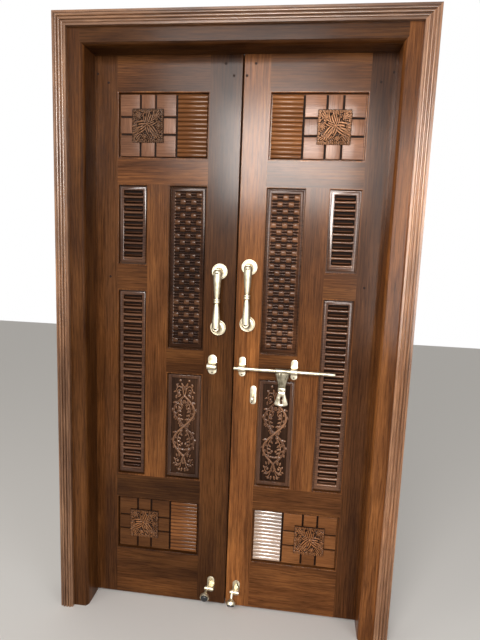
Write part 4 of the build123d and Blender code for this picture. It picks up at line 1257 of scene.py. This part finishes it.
    @staticmethod
    def leaf_form(a: Array, b: Array, half: float, full: float = 5.4) -> Array:
        """Height of a small leaf: full * sqrt(1 - (b / w)^2) with w = sin(pi a^0.7)^0.8 and a fine vein.

        Args:
            a: Place along the leaf.
            b: Place across it.
            half: Half of its width.
            full: Its height.

        Returns:
            Height on the grid.
        """
        outline = np.sin(np.pi * np.clip(a, 0.0, 1.0) ** 0.7) ** 0.8
        across = np.where(outline > 0.03, b / np.maximum(outline, 0.03), 9.0)
        form = full * np.sqrt(np.clip(1.0 - across**2, 0.0, 1.0)) - 0.8 * np.exp(-((b * half / 0.6) ** 2))
        return np.where((a > 0) & (a < 1) & (np.abs(across) < 1), np.maximum(form, 0.0), 0.0)

    def build(self) -> None:
        """Builds the scroll panel in place of its node, as the highest of all its features at each point.

        A strand's height is h sqrt(1 - (d / w)^2) at a distance d from its path, less a fine groove along it.
        """
        rect, face = self.rect, self.leaf.face
        top, tall = rect[3], rect[3] - rect[2]
        middle = (rect[0] + rect[1]) / 2
        x0, x1, z0, z1 = inset(rect, self.channel + self.border)
        x = np.linspace(x0, x1, round((x1 - x0) / self.step) + 1)
        z = np.linspace(z0, z1, round((z1 - z0) / self.step) + 1)
        grid_x, grid_z = np.meshgrid(x, z)
        height = np.zeros_like(grid_x)
        for hand in (1.0, -1.0):
            half_x = (grid_x - middle) * hand
            for offset, share, angle, length, half in self.leaves(tall):
                a, b = leaf_axes(half_x, grid_z, (offset, top - share * tall), angle, 1.1 * length, 1.25 * half)
                height = np.maximum(height, self.leaf_form(a, b, 1.25 * half))
            for order, (half, full, thin, path) in enumerate(self.curves()):
                place = np.stack([path[:, 0], top - path[:, 1] * tall], axis=-1)
                away, along = path_distance(half_x, grid_z, place)
                under = 1.6 if hand < 0 and order == 0 else 0.0
                wide = half * (1.0 - thin * along)
                form = (full - under) * np.sqrt(np.clip(1.0 - (away / wide) ** 2, 0.0, 1.0))
                if half > 2.8:
                    form -= 1.3 * np.exp(-((away / 0.9) ** 2)) * (form > 0)
                height = np.maximum(height, form)
            for offset, share, radius, full in self.buds:
                away = np.hypot(half_x - offset, grid_z - top + share * tall) / 1.15
                dome = full * np.sqrt(np.clip(1.0 - (away / radius) ** 2, 0.0, 1.0))
                dome -= 1.4 * np.exp(-(((away - 0.5 * radius) / 0.7) ** 2)) * (dome > 0)
                height = np.maximum(height, dome)
        rough = np.random.default_rng(9).normal(0.0, 0.12, height.shape)
        front = face + self.floor - height - rough * (height > 0.3)
        # Painted light and shade: dark on the floor and in the creases, lighter with height to a painted highlight on
        # the strands' crests; raised parts keep at least 0.22, so that only the floor and the strands' feet take the
        # dark floor teak of painted shade.
        relief = np.clip(0.05 + (height / 6.9) ** 2.0 * 0.95 + 0.30 * cavity(height), 0.0, 1.0)
        relief = np.where(height > 1.2, np.maximum(relief, 0.22), relief)
        carving = relief_shell(x, z, front, face + self.floor + 1.0, relief)
        shells = self.board(self.floor + 0.6) + [carving]
        self.carve(shells, Grain.UPRIGHT, "scroll", 60, self.leaf.finishes.floor)


@dataclass
class TiledPanel(Panel):
    """Reeded strip beside the meeting stile and nine tiles that frame a carved square."""

    strip: float = 103.0
    reed_pitch: float = 14.5
    reed_rise: float = 3.2
    reed_back: float = 9.0
    groove: float = 7.0
    groove_depth: float = 6.0
    middle_wide: float = 47.0
    middle_tall: float = 51.0
    polished: str = "right_bottom_panel"

    def tile_lines(self, rect: Rect) -> tuple[list[tuple[float, float]], list[tuple[float, float]]]:
        """Edges of the tiles across and up, counted outwards from the meeting side.

        Args:
            rect: Raised field of the panel, already drawn in by the channel.

        Returns:
            Pairs of edges in X and in Z.
        """
        x0, x1, z0, z1 = rect
        side = (x1 - x0 - self.strip - self.groove - self.middle_wide) / 2 - self.groove
        tall = (z1 - z0 - self.middle_tall) / 2 - self.groove
        start = self.strip + self.groove
        centre = start + side + self.groove
        spans = [(start, start + side), (centre, centre + self.middle_wide)]
        spans.append((spans[1][1] + self.groove, x1 - x0))
        across = [(x0 + a, x0 + b) if self.leaf.inner > 0 else (x1 - b, x1 - a) for a, b in spans]
        return across, [(z0, z0 + tall), (z0 + tall + self.groove, z1 - tall - self.groove), (z1 - tall, z1)]

    def build(self) -> None:
        """Builds the panel and its carved square in place of their nodes."""
        leaf, name, face = self.leaf, self.name, self.leaf.face
        board, hollow = leaf.finishes.board, leaf.finishes.hollow
        rect = inset(self.rect, self.channel)
        x0, x1, z0, z1 = rect
        across, up = self.tile_lines(rect)
        ground = [self.tongue(8.0), self.flat(rect, self.face_depth + self.groove_depth)]
        base = board(name, Grain.ACROSS, "tile", carved=True)
        add_piece(f"{name}_ground", ground, base, leaf.body, (name,), 60, hollow)
        low, high = (x0, x0 + self.strip) if leaf.inner > 0 else (x1 - self.strip, x1)
        strip = board(f"{name}_reeds", Grain.ACROSS, "polished" if name == self.polished else "tile", carved=True)
        reeds = self.reeds(low, high, z0, z1)
        add_piece(f"{name}_reeds", [reeds], strip, leaf.body, crease=60, hollow=hollow)
        back = face + self.face_depth + self.groove_depth + 0.5
        wood = "pale" if self.panel == "top_panel" else "tile"
        for order, (wide, tall) in enumerate(product(across, up), 1):
            tile = block_shell((*wide, *tall), face + self.face_depth, back, 1.3)
            grain = Grain.ACROSS if self.panel == "bottom_panel" or order % 2 else Grain.UPRIGHT
            label = f"{name}_tile_{order}"
            add_piece(label, [tile], board(label, grain, wood), leaf.body, crease=60)
        middle = ((across[1][0] + across[1][1]) / 2, (z0 + z1) / 2)
        CarvedSquare(leaf, self.panel.replace("panel", "rosette"), middle).build()

    def reeds(self, x0: float, x1: float, z0: float, z1: float) -> Shell:
        """Reeded strip: depth = back - rise |sin(pi z / pitch)|^0.6, rounded off at both ends.

        Args:
            x0: Left side.
            x1: Right side.
            z0: Foot.
            z1: Top.

        Returns:
            The shell.
        """
        count = round((z1 - z0) / self.reed_pitch)
        z = np.linspace(z0, z1, 10 * count + 1)
        wave = np.abs(np.sin(np.pi * np.linspace(0.0, count, len(z))))[:, None] ** 0.6
        steps = np.array([0.0, 0.4, 1.2])
        x = np.concatenate([x0 + steps, x1 - steps[::-1]])
        depth = self.reed_back - self.reed_rise * wave + np.array([1.2, 0.35, 0.0, 0.0, 0.35, 1.2])
        # Painted shade in the grooves between the reeds, lighter on their crowns.
        relief = np.broadcast_to(0.25 + 0.75 * wave, depth.shape)
        return relief_shell(x, z, self.leaf.face + depth, self.leaf.face + self.tongue_front + 1.0, relief)


@dataclass
class CarvedSquare:
    """Carved square: cupped, ribbed leaves that spring from one point, over smaller ones and a ruffled edge.

    Scallop and dome are height and radius. Petals are angle in degrees, length, half width and curl.
    """

    leaf: Leaf
    node: str
    middle: tuple[float, float]
    size: float = 112.0
    step: float = 0.8
    field_depth: float = 7.0
    ground: float = 0.8
    full: float = 8.4
    ribs: float = 2.0
    ruffle: float = 14.0
    scallop: tuple[float, float] = (6.4, 7.4)
    heart: tuple[float, float] = (3.0, 5.0)
    heart_dome: tuple[float, float] = (7.4, 5.5)
    corner_start: float = 38.0
    small_start: float = 37.0
    small_turn: float = 72.0
    petals: tuple = (
        (122, 56, 16, 0.8), (66, 44, 13, -0.9), (10, 50, 20, 0.9), (-44, 60, 17, -0.8), (-96, 46, 16, 0.9),
        (-142, 58, 17, -0.9), (170, 42, 14, 0.8),
    )

    def leaf_form(self, a: Array, b: Array, curl: float) -> Array:
        """Height of one ribbed leaf that curls to a side.

        With a along the leaf and b across it, moved by curl a^2, the ribs are l = |cos(n pi b)| and the outline
        is w = sin(pi a^0.8)^0.5 (0.9 + 0.1 cos(9 pi a)). With c = |b| / w the height is
        sqrt(1 - c^3) (0.6 + 0.4 a) (0.2 + 0.8 l), with a cup of 1 - 0.7 exp(-((a - 0.7) / 0.13)^2
        - (b / 0.42)^2) sunk near the tip.

        Args:
            a: Place along the leaf.
            b: Place across it.
            curl: How far it curls to a side, as a share of its half width.

        Returns:
            Height on the grid.
        """
        inside = np.clip(a, 0.0, 1.0)
        b = b + curl * inside**2
        lobe = np.abs(np.cos(np.pi * self.ribs * b))
        outline = np.sin(np.pi * inside**0.8) ** 0.5 * (0.9 + 0.1 * np.cos(9 * np.pi * inside))
        across = np.where(outline > 0.02, np.abs(b) / np.maximum(outline, 0.02), 9.0)
        cup = 1.0 - 0.7 * np.exp(-(((inside - 0.7) / 0.13) ** 2) - (b / 0.42) ** 2)
        body = np.sqrt(np.clip(1.0 - across**3, 0.0, 1.0)) * cup
        form = self.full * (0.6 + 0.4 * inside) * body * (0.2 + 0.8 * lobe)
        return np.where((a > 0) & (a < 1) & (across < 1), np.maximum(form, 0.0), 0.0)

    def heights(self, x: Array, z: Array) -> Array:
        """The whole carving: the highest of the large leaves, the small ones between them, the ruffle and the heart.

        Args:
            x: Grid of X from the square's middle.
            z: Grid of Z from the square's middle.

        Returns:
            Height on the grid.
        """
        hx, hz = self.heart
        edge = self.size / 2
        height = 1.7 + 1.6 * np.sin(2 * np.pi * (np.abs(x - hx) + np.abs(z - hz)) / 10.5)
        height += 1.1 * np.sin(2 * np.pi * (x - z) / 17.0)
        for place in np.arange(-edge + self.ruffle / 2, edge, self.ruffle):
            for cx, cz in ((place, edge - 4), (place, 4 - edge), (edge - 4, place), (4 - edge, place)):
                away = np.hypot(x - cx, z - cz)
                scallop = self.scallop[0] * np.sqrt(np.clip(1.0 - (away / self.scallop[1]) ** 2, 0.0, 1.0))
                height = np.maximum(height, scallop - 3.0 * np.exp(-(((away - 2.6) / 1.3) ** 2)) * (scallop > 0))
        leaves = []
        for angle in (45, 135, 225, 315):
            cos, sin = math.cos(math.radians(angle)), math.sin(math.radians(angle))
            leaves.append((0.86, (self.corner_start * cos, self.corner_start * sin), angle, 40, 13, 0.5))
        for order, angle in enumerate(range(5, 365, 24)):
            cos, sin = math.cos(math.radians(angle)), math.sin(math.radians(angle))
            side = 1 if order % 2 else -1
            start = (hx + self.small_start * cos, hz + self.small_start * sin)
            leaves.append((0.9, start, angle + self.small_turn * side, 27, 8.5, 0.9 * side))
        leaves += [(1.0, self.heart, *petal) for petal in self.petals]
        for share, start, angle, length, half, curl in leaves:
            form = self.leaf_form(*leaf_axes(x, z, start, angle, length, half), curl)
            height = np.maximum(height, share * form)
        away = np.hypot(x - hx, z - hz)
        dome, radius = self.heart_dome
        return np.maximum(height, dome * np.sqrt(np.clip(1 - (away / radius) ** 2, 0, 1)))

    def build(self) -> None:
        """Builds the carved square in place of its node."""
        leaf, half = self.leaf, self.size / 2
        side = np.linspace(-half, half, round(self.size / self.step) + 1)
        x, z = np.meshgrid(side * leaf.inner, side)
        height = self.heights(x, z)
        bite = np.random.default_rng(int(half + self.middle[1])).normal(0.0, 0.14, x.shape)
        height = np.where(height > self.ground + 0.4, height + bite, height)
        face = leaf.face + self.field_depth
        front = face + 0.6 - np.clip(height, 0.4, self.full + 0.6)
        # Painted light and shade: darker in the low parts and creases, lighter on the crests, and a painted shadow
        # along the top and both sides of the square.
        relief = np.clip(0.38 + (height - 4.2) / 3.9 + 0.85 * cavity(height), 0.0, 1.0)
        rim = (z > half - 2.4) | (np.abs(x) > half - 1.7)
        relief = np.where(rim, 0.35 * relief, relief)
        name = f"{leaf.side}_{self.node}"
        shell = relief_shell(self.middle[0] + side, self.middle[1] + side, front, face + 5.0, relief, 0.0)
        kind = "golden" if self.node.startswith("bottom") else "carved"
        finish = leaf.finishes.board(name, Grain.UPRIGHT, kind, carved=True)
        add_piece(f"{name}_carved", [shell], finish, leaf.body, (name,), 60, leaf.finishes.hollow)


@dataclass
class GapShadeStrip:
    """Near-black strip at the back of the gap between the leaves, fixed to the left one and clear of the right one: it
    blocks the light from behind, and its colour is painted shade for the gap.
    """

    width: float = 3.4
    depth: float = 6.5
    setback: float = 30.5

    def build(self, leaf: Leaf) -> None:
        """Builds the strip along the leaf's meeting edge.

        Args:
            leaf: Leaf that carries it.
        """
        low, high = box_of(f"{leaf.side}_meeting_stile")
        rect = (high[0] - 0.4, high[0] + self.width, low[2] + 1, high[2] - 1)
        front = leaf.face + self.setback
        shell = block_shell(rect, front, front + self.depth, 0.8)
        # The strip's near-black colour is painted shade for the gap.
        add_piece("gap_shade_strip", [shell], leaf.finishes.shadow, leaf.body)


@dataclass
class Pegs:
    """Dark wooden pegs that pin the joints of a leaf, a hair proud of the face."""

    radius: float = 4.2
    proud: float = 0.35
    places: tuple[tuple[float, float], ...] = ((22, 1953), (50.6, 1991), (497.5, 1961), (459, 1932), (453.5, 1264))

    def build(self, leaf: Leaf) -> None:
        """Sets the pegs of one leaf.

        Args:
            leaf: Leaf that carries them.
        """
        along = np.array([3.0, -self.proud + 0.15, -self.proud])
        radius = np.array([self.radius, self.radius, self.radius - 0.3])
        axis = np.array([0.0, 1.0, 0.0])
        starts = [np.array([leaf.inner * x, leaf.face, z]) for x, z in self.places]
        shells = [lathe_shell(along, radius, start, axis, 20) for start in starts]
        add_piece(f"{leaf.side}_pegs", shells, leaf.finishes.peg, leaf.body)


@dataclass
class PullHandle:
    """Pull handle: two domed roses, their posts and a grip that narrows to a ringed collar.

    The rose is a table of distance out from the leaf and radius: rim, groove, dome, neck and post.
    """

    centres: float = 201.0
    standoff: float = 50.0
    end_radius: float = 14.8
    waist: float = 8.2
    collar: float = 11.3
    collar_tall: float = 16.0
    overrun: float = 9.0
    rose: tuple = (
        (0, 28.5), (2.6, 28.5), (4.0, 27.9), (4.7, 26.8), (4.7, 25.6), (4.0, 24.4), (3.0, 23.6), (2.8, 22.4),
        (3.4, 18.5), (4.6, 15.0), (6.4, 12.6), (9.0, 11.0), (16, 9.8), (30, 9.4), (42, 9.8), (50, 10.5),
    )

    def grip_profile(self) -> tuple[Array, Array]:
        """Half of the grip as distance from its middle and radius, mirrored to the whole.

        From waist to end the radius is w + (e - w) (1 - (1 - t)^1.7), with t from 0 at the waist to 1.

        Returns:
            Distances and radii.
        """
        end, half = self.centres / 2, self.collar_tall / 2
        collar, neck = self.collar, self.waist - 1.8
        rings = [(0.0, collar - 0.6), (1.0, collar - 0.4), (1.6, collar), (half - 1.5, collar)]
        rings += [(half - 0.5, collar - 0.5), (half, collar - 1.6), (half + 0.2, neck), (half + 2.2, neck)]
        rings += [(half + 2.5, self.waist - 0.2)]
        t = np.linspace(0.03, 1.0, 14)
        swell = 1.0 - (1.0 - t) ** 1.7
        body = np.stack([half + 3 + t * (end - half - 3), self.waist + (self.end_radius - self.waist) * swell], -1)
        angle = np.linspace(0.15, 1.0, 6) * np.pi / 2
        cap = np.stack([end + self.overrun * np.sin(angle), self.end_radius * np.cos(angle) ** 0.8], -1)
        upper = np.vstack([np.array(rings), body, cap])
        whole = np.vstack([(upper * np.array([-1.0, 1.0]))[:0:-1], upper])
        return whole[:, 0], whole[:, 1]

    def arcs(
        self, middle: Array, arc: Array, size: Array | float, back: float, radii: Point, sink: float
    ) -> list[Shell]:
        """A rounded band laid in an arc over the front of each end.

        Args:
            middle: The grip's middle.
            arc: Angles of the band's rings.
            size: Share of the full section at each ring.
            back: How far the arc's centre lies inside the roses' centres.
            radii: Radius of the arc, half width and half thickness of the band.
            sink: How far the band is sunk.

        Returns:
            Their shells.
        """
        x, y, height = middle
        mean, wide, thick = radii
        ring, arc = once_round(10), arc[:, None]
        radius = mean + wide * size * np.cos(ring)
        px = x + radius * np.cos(arc)
        py = y - np.sqrt(np.clip(self.end_radius**2 - (px - x) ** 2, 1.0, None)) + sink - thick * size * np.sin(ring)
        return [
            tube_shell(px, py, height + way * (self.centres / 2 - back) + way * radius * np.sin(arc))
            for way in (-1.0, 1.0)
        ]

    def build(self, leaf: Leaf) -> None:
        """Builds the handle in place of its node.

        Args:
            leaf: Leaf that carries it.
        """
        node = f"{leaf.side}_pull_handle"
        low, high = box_of(node)
        x, face, height = (low[0] + high[0]) / 2, high[1], (low[2] + high[2]) / 2
        out, radius = np.array(self.rose, float).T
        shells = []
        for way in (-1, 1):
            foot = np.array([x, face, height + way * self.centres / 2])
            shells.append(lathe_shell(out, radius, foot, np.array([0.0, -1.0, 0.0]), 56))
        grip_y = max(face - self.standoff, low[1] + self.end_radius + 1.9)
        middle = np.array([x, grip_y, height])
        shells.append(lathe_shell(*self.grip_profile(), middle, np.array([0.0, 0.0, 1.0])))
        shells += self.arcs(middle, np.radians(np.linspace(18, 162, 25)), 1.0, 9.0, (11.9, 1.7, 1.7), 0.3)
        add_piece(f"{node}_turned", shells, leaf.finishes.brass, leaf.body, (node,), 40)
        # Dark crescents just inside the brass lips at both ends of the grip: painted shadow in the near-black shadow
        # finish.
        share = np.linspace(0.02, 0.98, 21)
        size = np.sin(np.pi * share[:, None]) ** 0.7
        painted_shadow_arcs = self.arcs(middle, np.radians(25 + 130 * share), size, 10.0, (7.4, 2.7, 0.4), 0.2)
        add_piece(f"{node}_recesses", painted_shadow_arcs, leaf.finishes.shadow, leaf.body)


@dataclass
class Hasp:
    """Cast hasp: a hub round the bolt, a fluted taper, a collar and a bell with the slot for the lug.

    The hub is a table of place along it and radius. Taper and band are tables of height, half width and half
    thickness, the bell's outline is height and half width, and its loops are share of the way from the slot
    to the outline and depth.
    """

    hub: float = 10.0
    hub_half: float = 26.5
    bore: float = 6.3
    hub_steps: tuple = ((0, 8.6), (1, 9.6), (3, 10.0), (6, 9.4))
    hub_waist: float = 9.2
    slot_half: float = 4.0
    slot_tall: float = 11.0
    slot_middle: float = -106.0
    flute: float = 0.20
    taper: tuple = (
        (-5, 25.5, 9.8), (-9, 25.2, 10.4), (-14, 24.2, 10.2), (-20, 22.6, 9.4), (-28, 20.2, 8.2), (-38, 17.2, 6.9),
        (-48, 14.8, 6.0), (-56, 13.2, 5.4), (-60, 12.6, 5.2),
    )
    band: tuple = (
        (-60, 12.6, 5.2), (-60.6, 13.8, 6.2), (-62.5, 14.3, 6.8), (-67, 14.5, 7.0), (-71.5, 14.3, 6.8),
        (-73.4, 13.8, 6.2), (-74, 12.4, 5.0),
    )
    outline: tuple = (
        (-129, 2), (-128, 10), (-125, 20), (-121, 24.3), (-112, 22), (-100, 18.4), (-88, 15.0), (-80, 13.2),
        (-73.5, 12.4),
    )
    loops: tuple = (
        (0.0, -2.2), (0.08, -3.2), (0.35, -4.2), (0.7, -3.6), (0.92, -2.8), (1.0, -1.4), (1.0, 1.6), (0.9, 2.6),
        (0.1, 2.6), (0.0, 2.2),
    )

    def sections(self, place: Array, table: tuple, flute: float) -> Shell:
        """Rounded sections stacked in Z: |cos a|^p and |sin a|^p times the half width and half thickness.

        The front has flutes of 1 - f (0.5 + 0.5 cos 14 a).

        Args:
            place: Point that the table counts from.
            table: Height, half width and half thickness of each section.
            flute: Depth of the flutes as a share.

        Returns:
            The shell.
        """
        level, wide, thick = np.array(table, float).T[:, :, None]
        angle = once_round(72)
        cos, sin = np.cos(angle), np.sin(angle)
        ripple = 1.0 - flute * (0.5 + 0.5 * np.cos(14 * angle)) * (sin < 0.2)
        px = place[0] + wide * (np.sign(cos) * np.abs(cos) ** 0.8)
        py = place[1] + thick * (np.sign(sin) * np.abs(sin) ** 0.8) * ripple
        return tube_shell(px, py, place[2] + level)

    def bell(self, place: Array) -> Shell:
        """Bell with its slot: loops that run from the slot's edge over the front to the outline and back behind.

        Args:
            place: Point that the tables count from.

        Returns:
            The shell.
        """
        angle = once_round(64)
        cos, sin = np.cos(angle), np.sin(angle)
        slot_x = self.slot_half * cos
        slot_z = self.slot_middle + self.slot_half * sin + self.slot_tall * np.clip(sin * 3, -1, 1)
        out_z = np.interp(sin, [-1.0, -0.75, -0.2, 0.5, 1.0], [-129.0, -123.0, -104.0, -84.0, -73.5])
        out_x = np.interp(out_z, *np.array(self.outline).T) * np.clip(cos * 3.0, -1, 1)
        share, depth = np.array(self.loops).T[:, :, None]
        px = place[0] + (slot_x + (out_x - slot_x) * share)
        return tube_shell(px, place[1] + depth, place[2] + (slot_z + (out_z - slot_z) * share), looped=True)

    def build(self, finishes: Finishes) -> None:
        """Builds the hasp in place of its node.

        Args:
            finishes: The door's finishes.
        """
        low, high = box_of("hasp")
        place = np.array([(low[0] + high[0]) / 2, (low[1] + high[1]) / 2, high[2] - self.hub])
        half = self.hub_half
        hub = [(-half, self.bore)] + [(step - half, radius) for step, radius in self.hub_steps] + [(0, self.hub_waist)]
        hub += [(half - step, radius) for step, radius in self.hub_steps[::-1]] + [(half, self.bore)]
        along, radius = np.array(hub).T[:, :, None]
        angle = once_round(48)
        y, z = place[1] + radius * np.cos(angle), place[2] + radius * np.sin(angle)
        shells = [tube_shell(place[0] + along, y, z, looped=True), self.sections(place, self.taper, self.flute)]
        add_piece("hasp_cast", shells, finishes.satin, "hasp", ("hasp",), 45)
        shells = [self.sections(place, self.band, 0.0), self.bell(place)]
        add_piece("hasp_bell", shells, finishes.worn, "hasp", crease=45)


@dataclass
class Hardware:
    """Bolt, guides, catch, staple, stoppers and hinges: packed forms with rounded edges, and near-black discs of
    painted shade for their screw holes.

    Holes are node, shift in X from its middle, height over its foot and thickness of the metal there.
    """

    brass_parts: tuple[tuple[str, str], ...] = (
        ("bolt_rod", "bolt"),
        ("bolt_guide_inner", "right_leaf"),
        ("bolt_guide_outer", "right_leaf"),
        ("bolt_catch", "left_leaf"),
        ("lock_staple", "right_leaf"),
        ("left_stopper_plate", "left_leaf"),
        ("right_stopper_plate", "right_leaf"),
        ("left_stopper_leg", "left_stopper"),
        ("right_stopper_leg", "right_stopper"),
    )
    hinge_parts: tuple[str, ...] = ("hinge_plates_frame", "hinge_pins", "left_hinge_plates", "right_hinge_plates")
    right_holes: tuple = (
        ("bolt_guide_inner", 0.0, 7.5, 2.5),
        ("bolt_guide_outer", 0.0, 7.5, 2.5),
        ("lock_staple", -4.0, 7.0, 2.5),
        ("right_stopper_plate", 0.0, 9.0, 3.0),
    )
    left_holes: tuple = (("bolt_catch", 0.0, 7.5, 2.5), ("left_stopper_plate", 0.0, 9.0, 3.0))

    def build(self, finishes: Finishes) -> None:
        """Dresses the metal and rubber that keep their packed forms.

        Args:
            finishes: The door's finishes.
        """
        for node, body in self.brass_parts:
            finish = finishes.worn if node == "bolt_rod" else finishes.brass
            soften_node(node, finish, body, 0.8 if "guide" in node or "catch" in node else 0.5)
        for node in self.hinge_parts:
            paint_node(node, finishes.brass)
        for side in ("left", "right"):
            soften_node(f"{side}_stopper_rubber", finishes.rubber, f"{side}_stopper", 0.8)
        # Near-black discs of painted shade stand for the insides of the screw holes.
        for body, holes in (("right_leaf", self.right_holes), ("left_leaf", self.left_holes)):
            shells = [self.hole(*hole) for hole in holes]
            add_piece(f"{body}_screw_holes", shells, finishes.shadow, body)

    def hole(self, node: str, shift: float, up: float, thick: float) -> Shell:
        """Painted shade of a screw hole in a strap or plate: a thin near-black disc a hair proud of the metal.

        Args:
            node: Node that it is in.
            shift: Shift in X from the node's middle.
            up: Height over the node's foot.
            thick: Thickness of the metal.

        Returns:
            The shell.
        """
        low, high = box_of(node)
        x = high[0] - 13.5 if "stopper" in node else (low[0] + high[0]) / 2 + shift
        start = np.array([x, high[1] - thick + 0.3, low[2] + up])
        return lathe_shell([0.0, 0.45, 0.6], [2.6, 2.6, 2.2], start, np.array([0, -1.0, 0]), 20)


@dataclass(frozen=True)
class View:
    """Camera solved from the door's straight lines, for a picture of 480 by 640."""

    place: Point = (0.24845, -1.72694, 1.39464)
    turns: Point = (0.148386624, 0.124427885, 0.0371389097)
    focal_pixels: float = 501.74
    picture_long: float = 640.0
    sensor: float = 36.0

    def build(self) -> None:
        """Makes the camera from its turns, whose rows are right, down and ahead, and sets it as the scene's."""
        (cx, cy, cz), (sx, sy, sz) = np.cos(self.turns), np.sin(self.turns)
        about_x = np.array([[1, 0, 0], [0, cx, -sx], [0, sx, cx]])
        about_y = np.array([[cy, 0, sy], [0, 1, 0], [-sy, 0, cy]])
        about_z = np.array([[cz, -sz, 0], [sz, cz, 0], [0, 0, 1]])
        right, down, ahead = (about_z @ about_x @ about_y)[:, [0, 2, 1]] * [1, 1, -1]
        pose = np.eye(4)
        pose[:3] = np.column_stack([right, -down, -ahead, self.place])
        data = bpy.data.cameras.new("view")
        data.sensor_width = self.sensor
        data.lens = self.focal_pixels / self.picture_long * self.sensor
        data.clip_start, data.clip_end = 0.01, 50.0
        camera = bpy.data.objects.new("view", data)
        camera.matrix_world = Matrix(pose.tolist())
        bpy.context.scene.collection.objects.link(camera)
        bpy.context.scene.camera = camera


@dataclass(frozen=True)
class Studio:
    """Pale floor, white surroundings for the camera, and soft light from the viewer's side.

    Each lamp is name, place, point that it faces, width and height, power in watts, colour and whether it
    lights matt surfaces too.
    """

    floor_colour: Colour = (0.74, 0.72, 0.69)
    sky: float = 0.42
    lamps: tuple = (
        ("key", (-0.4, -3.0, 2.6), (0.0, 0.0, 1.2), (1.4, 1.2), 66.0, (1.0, 0.97, 0.95), True),
        ("sheen", (0.04, -3.0, 2.20), (0.1, 0.0, 1.6), (1.2, 0.82), 172.0, (1.0, 0.93, 0.88), False),
        ("edge", (1.2, -3.0, 1.5), (0.55, 0.0, 1.4), (0.55, 1.9), 44.0, (1.0, 0.98, 0.97), False),
        ("side", (-2.4, -2.2, 2.2), (0.0, 0.0, 1.0), (1.2, 1.6), 12.0, (1.0, 0.97, 0.94), True),
        ("fill", (2.2, -2.4, 1.6), (0.0, 0.0, 0.9), (1.4, 2.0), 24.0, (0.93, 0.96, 1.0), True),
    )

    def build(self) -> None:
        """Makes the floor, the world and the lamps."""
        mesh = bpy.data.meshes.new("floor")
        mesh.from_pydata([(-6, -6, 0), (6, -6, 0), (6, 6, 0), (-6, 6, 0)], [], [(0, 1, 2, 3)])
        mesh.materials.append(Bench("pale_floor").finish(Base_Color=(*self.floor_colour, 1.0), Roughness=0.75))
        floor = bpy.data.objects.new("floor", mesh)
        bpy.context.scene.collection.objects.link(floor)
        floor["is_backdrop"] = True
        self.surroundings()
        for lamp in self.lamps:
            self.lamp(*lamp)

    def surroundings(self) -> None:
        """World: an even pale light, and plain white where the camera or a reflection looks."""
        world = bpy.data.worlds.new("studio")
        bpy.context.scene.world = world
        world.use_nodes = True
        nodes, links = world.node_tree.nodes, world.node_tree.links
        nodes.clear()
        output = nodes.new("ShaderNodeOutputWorld")
        mix = nodes.new("ShaderNodeMixShader")
        tones = (((1.0, 0.97, 0.93, 1.0), self.sky), ((1.0, 1.0, 1.0, 1.0), 1.0))
        for socket, (colour, strength) in zip(mix.inputs[1:], tones):
            light = nodes.new("ShaderNodeBackground")
            light.inputs[0].default_value = colour
            light.inputs[1].default_value = strength
            links.new(light.outputs[0], socket)
        path = nodes.new("ShaderNodeLightPath")
        seen = path.outputs["Is Camera Ray"]
        for kind in ("Is Glossy Ray", "Is Transmission Ray"):
            either = nodes.new("ShaderNodeMath")
            either.operation = "MAXIMUM"
            links.new(seen, either.inputs[0])
            links.new(path.outputs[kind], either.inputs[1])
            seen = either.outputs[0]
        links.new(seen, mix.inputs[0])
        links.new(mix.outputs[0], output.inputs[0])

    @staticmethod
    def lamp(name: str, place: Point, target: Point, size: tuple, power: float, colour: Colour, matt: bool) -> None:
        """Adds one soft lamp.

        Args:
            name: Name of the lamp.
            place: Where it hangs.
            target: Point that it faces.
            size: Width and height.
            power: Its power in watts.
            colour: Its colour.
            matt: Whether it lights matt surfaces too.
        """
        data = bpy.data.lights.new(name, "AREA")
        data.shape = "RECTANGLE"
        data.size, data.size_y = size
        data.energy = power
        data.color = colour
        lamp = bpy.data.objects.new(name, data)
        back = np.array(place) - np.array(target)
        back = back / np.linalg.norm(back)
        right = np.cross([0.0, 0.0, 1.0], back)
        right = right / np.linalg.norm(right)
        pose = np.eye(4)
        pose[:3] = np.column_stack([right, np.cross(back, right), back, place])
        lamp.matrix_world = Matrix(pose.tolist())
        lamp.visible_diffuse = matt
        bpy.context.scene.collection.objects.link(lamp)


def corners(box: tuple) -> list[list[float]]:
    """A box as plain lists of numbers."""
    return [[float(part) for part in corner] for corner in box]


def main() -> None:
    """Builds the door's pieces in order and works out how large it is before and after."""
    logging.basicConfig(level=logging.INFO, format="%(name)s: %(message)s")
    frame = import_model()
    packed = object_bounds()
    packed_nodes.update(frame["nodes"])
    finishes = Finishes()
    Framing().dress(finishes)
    for side in ("left", "right"):
        leaf = Leaf(side, finishes)
        panels = [
            TiledPanel(leaf, "top_panel"),
            LouvrePanel(leaf, "short_louvre"),
            LouvrePanel(leaf, "long_louvre"),
            WeavePanel(leaf, "weave_panel"),
            ScrollPanel(leaf, "scroll_panel"),
            TiledPanel(leaf, "bottom_panel"),
        ]
        for panel in panels:
            panel.edge()
        for panel in panels[1:5] + panels[:1] + panels[5:]:
            panel.build()
        Pegs().build(leaf)
        PullHandle().build(leaf)
    GapShadeStrip().build(Leaf("left", finishes))
    Hasp().build(finishes)
    Hardware().build(finishes)
    Studio().build()
    View().build()
    bpy.context.scene.view_settings.view_transform = "Standard"
    {"cad": corners(packed), "visual": corners(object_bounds())}


if __name__ == "__main__":
    main()
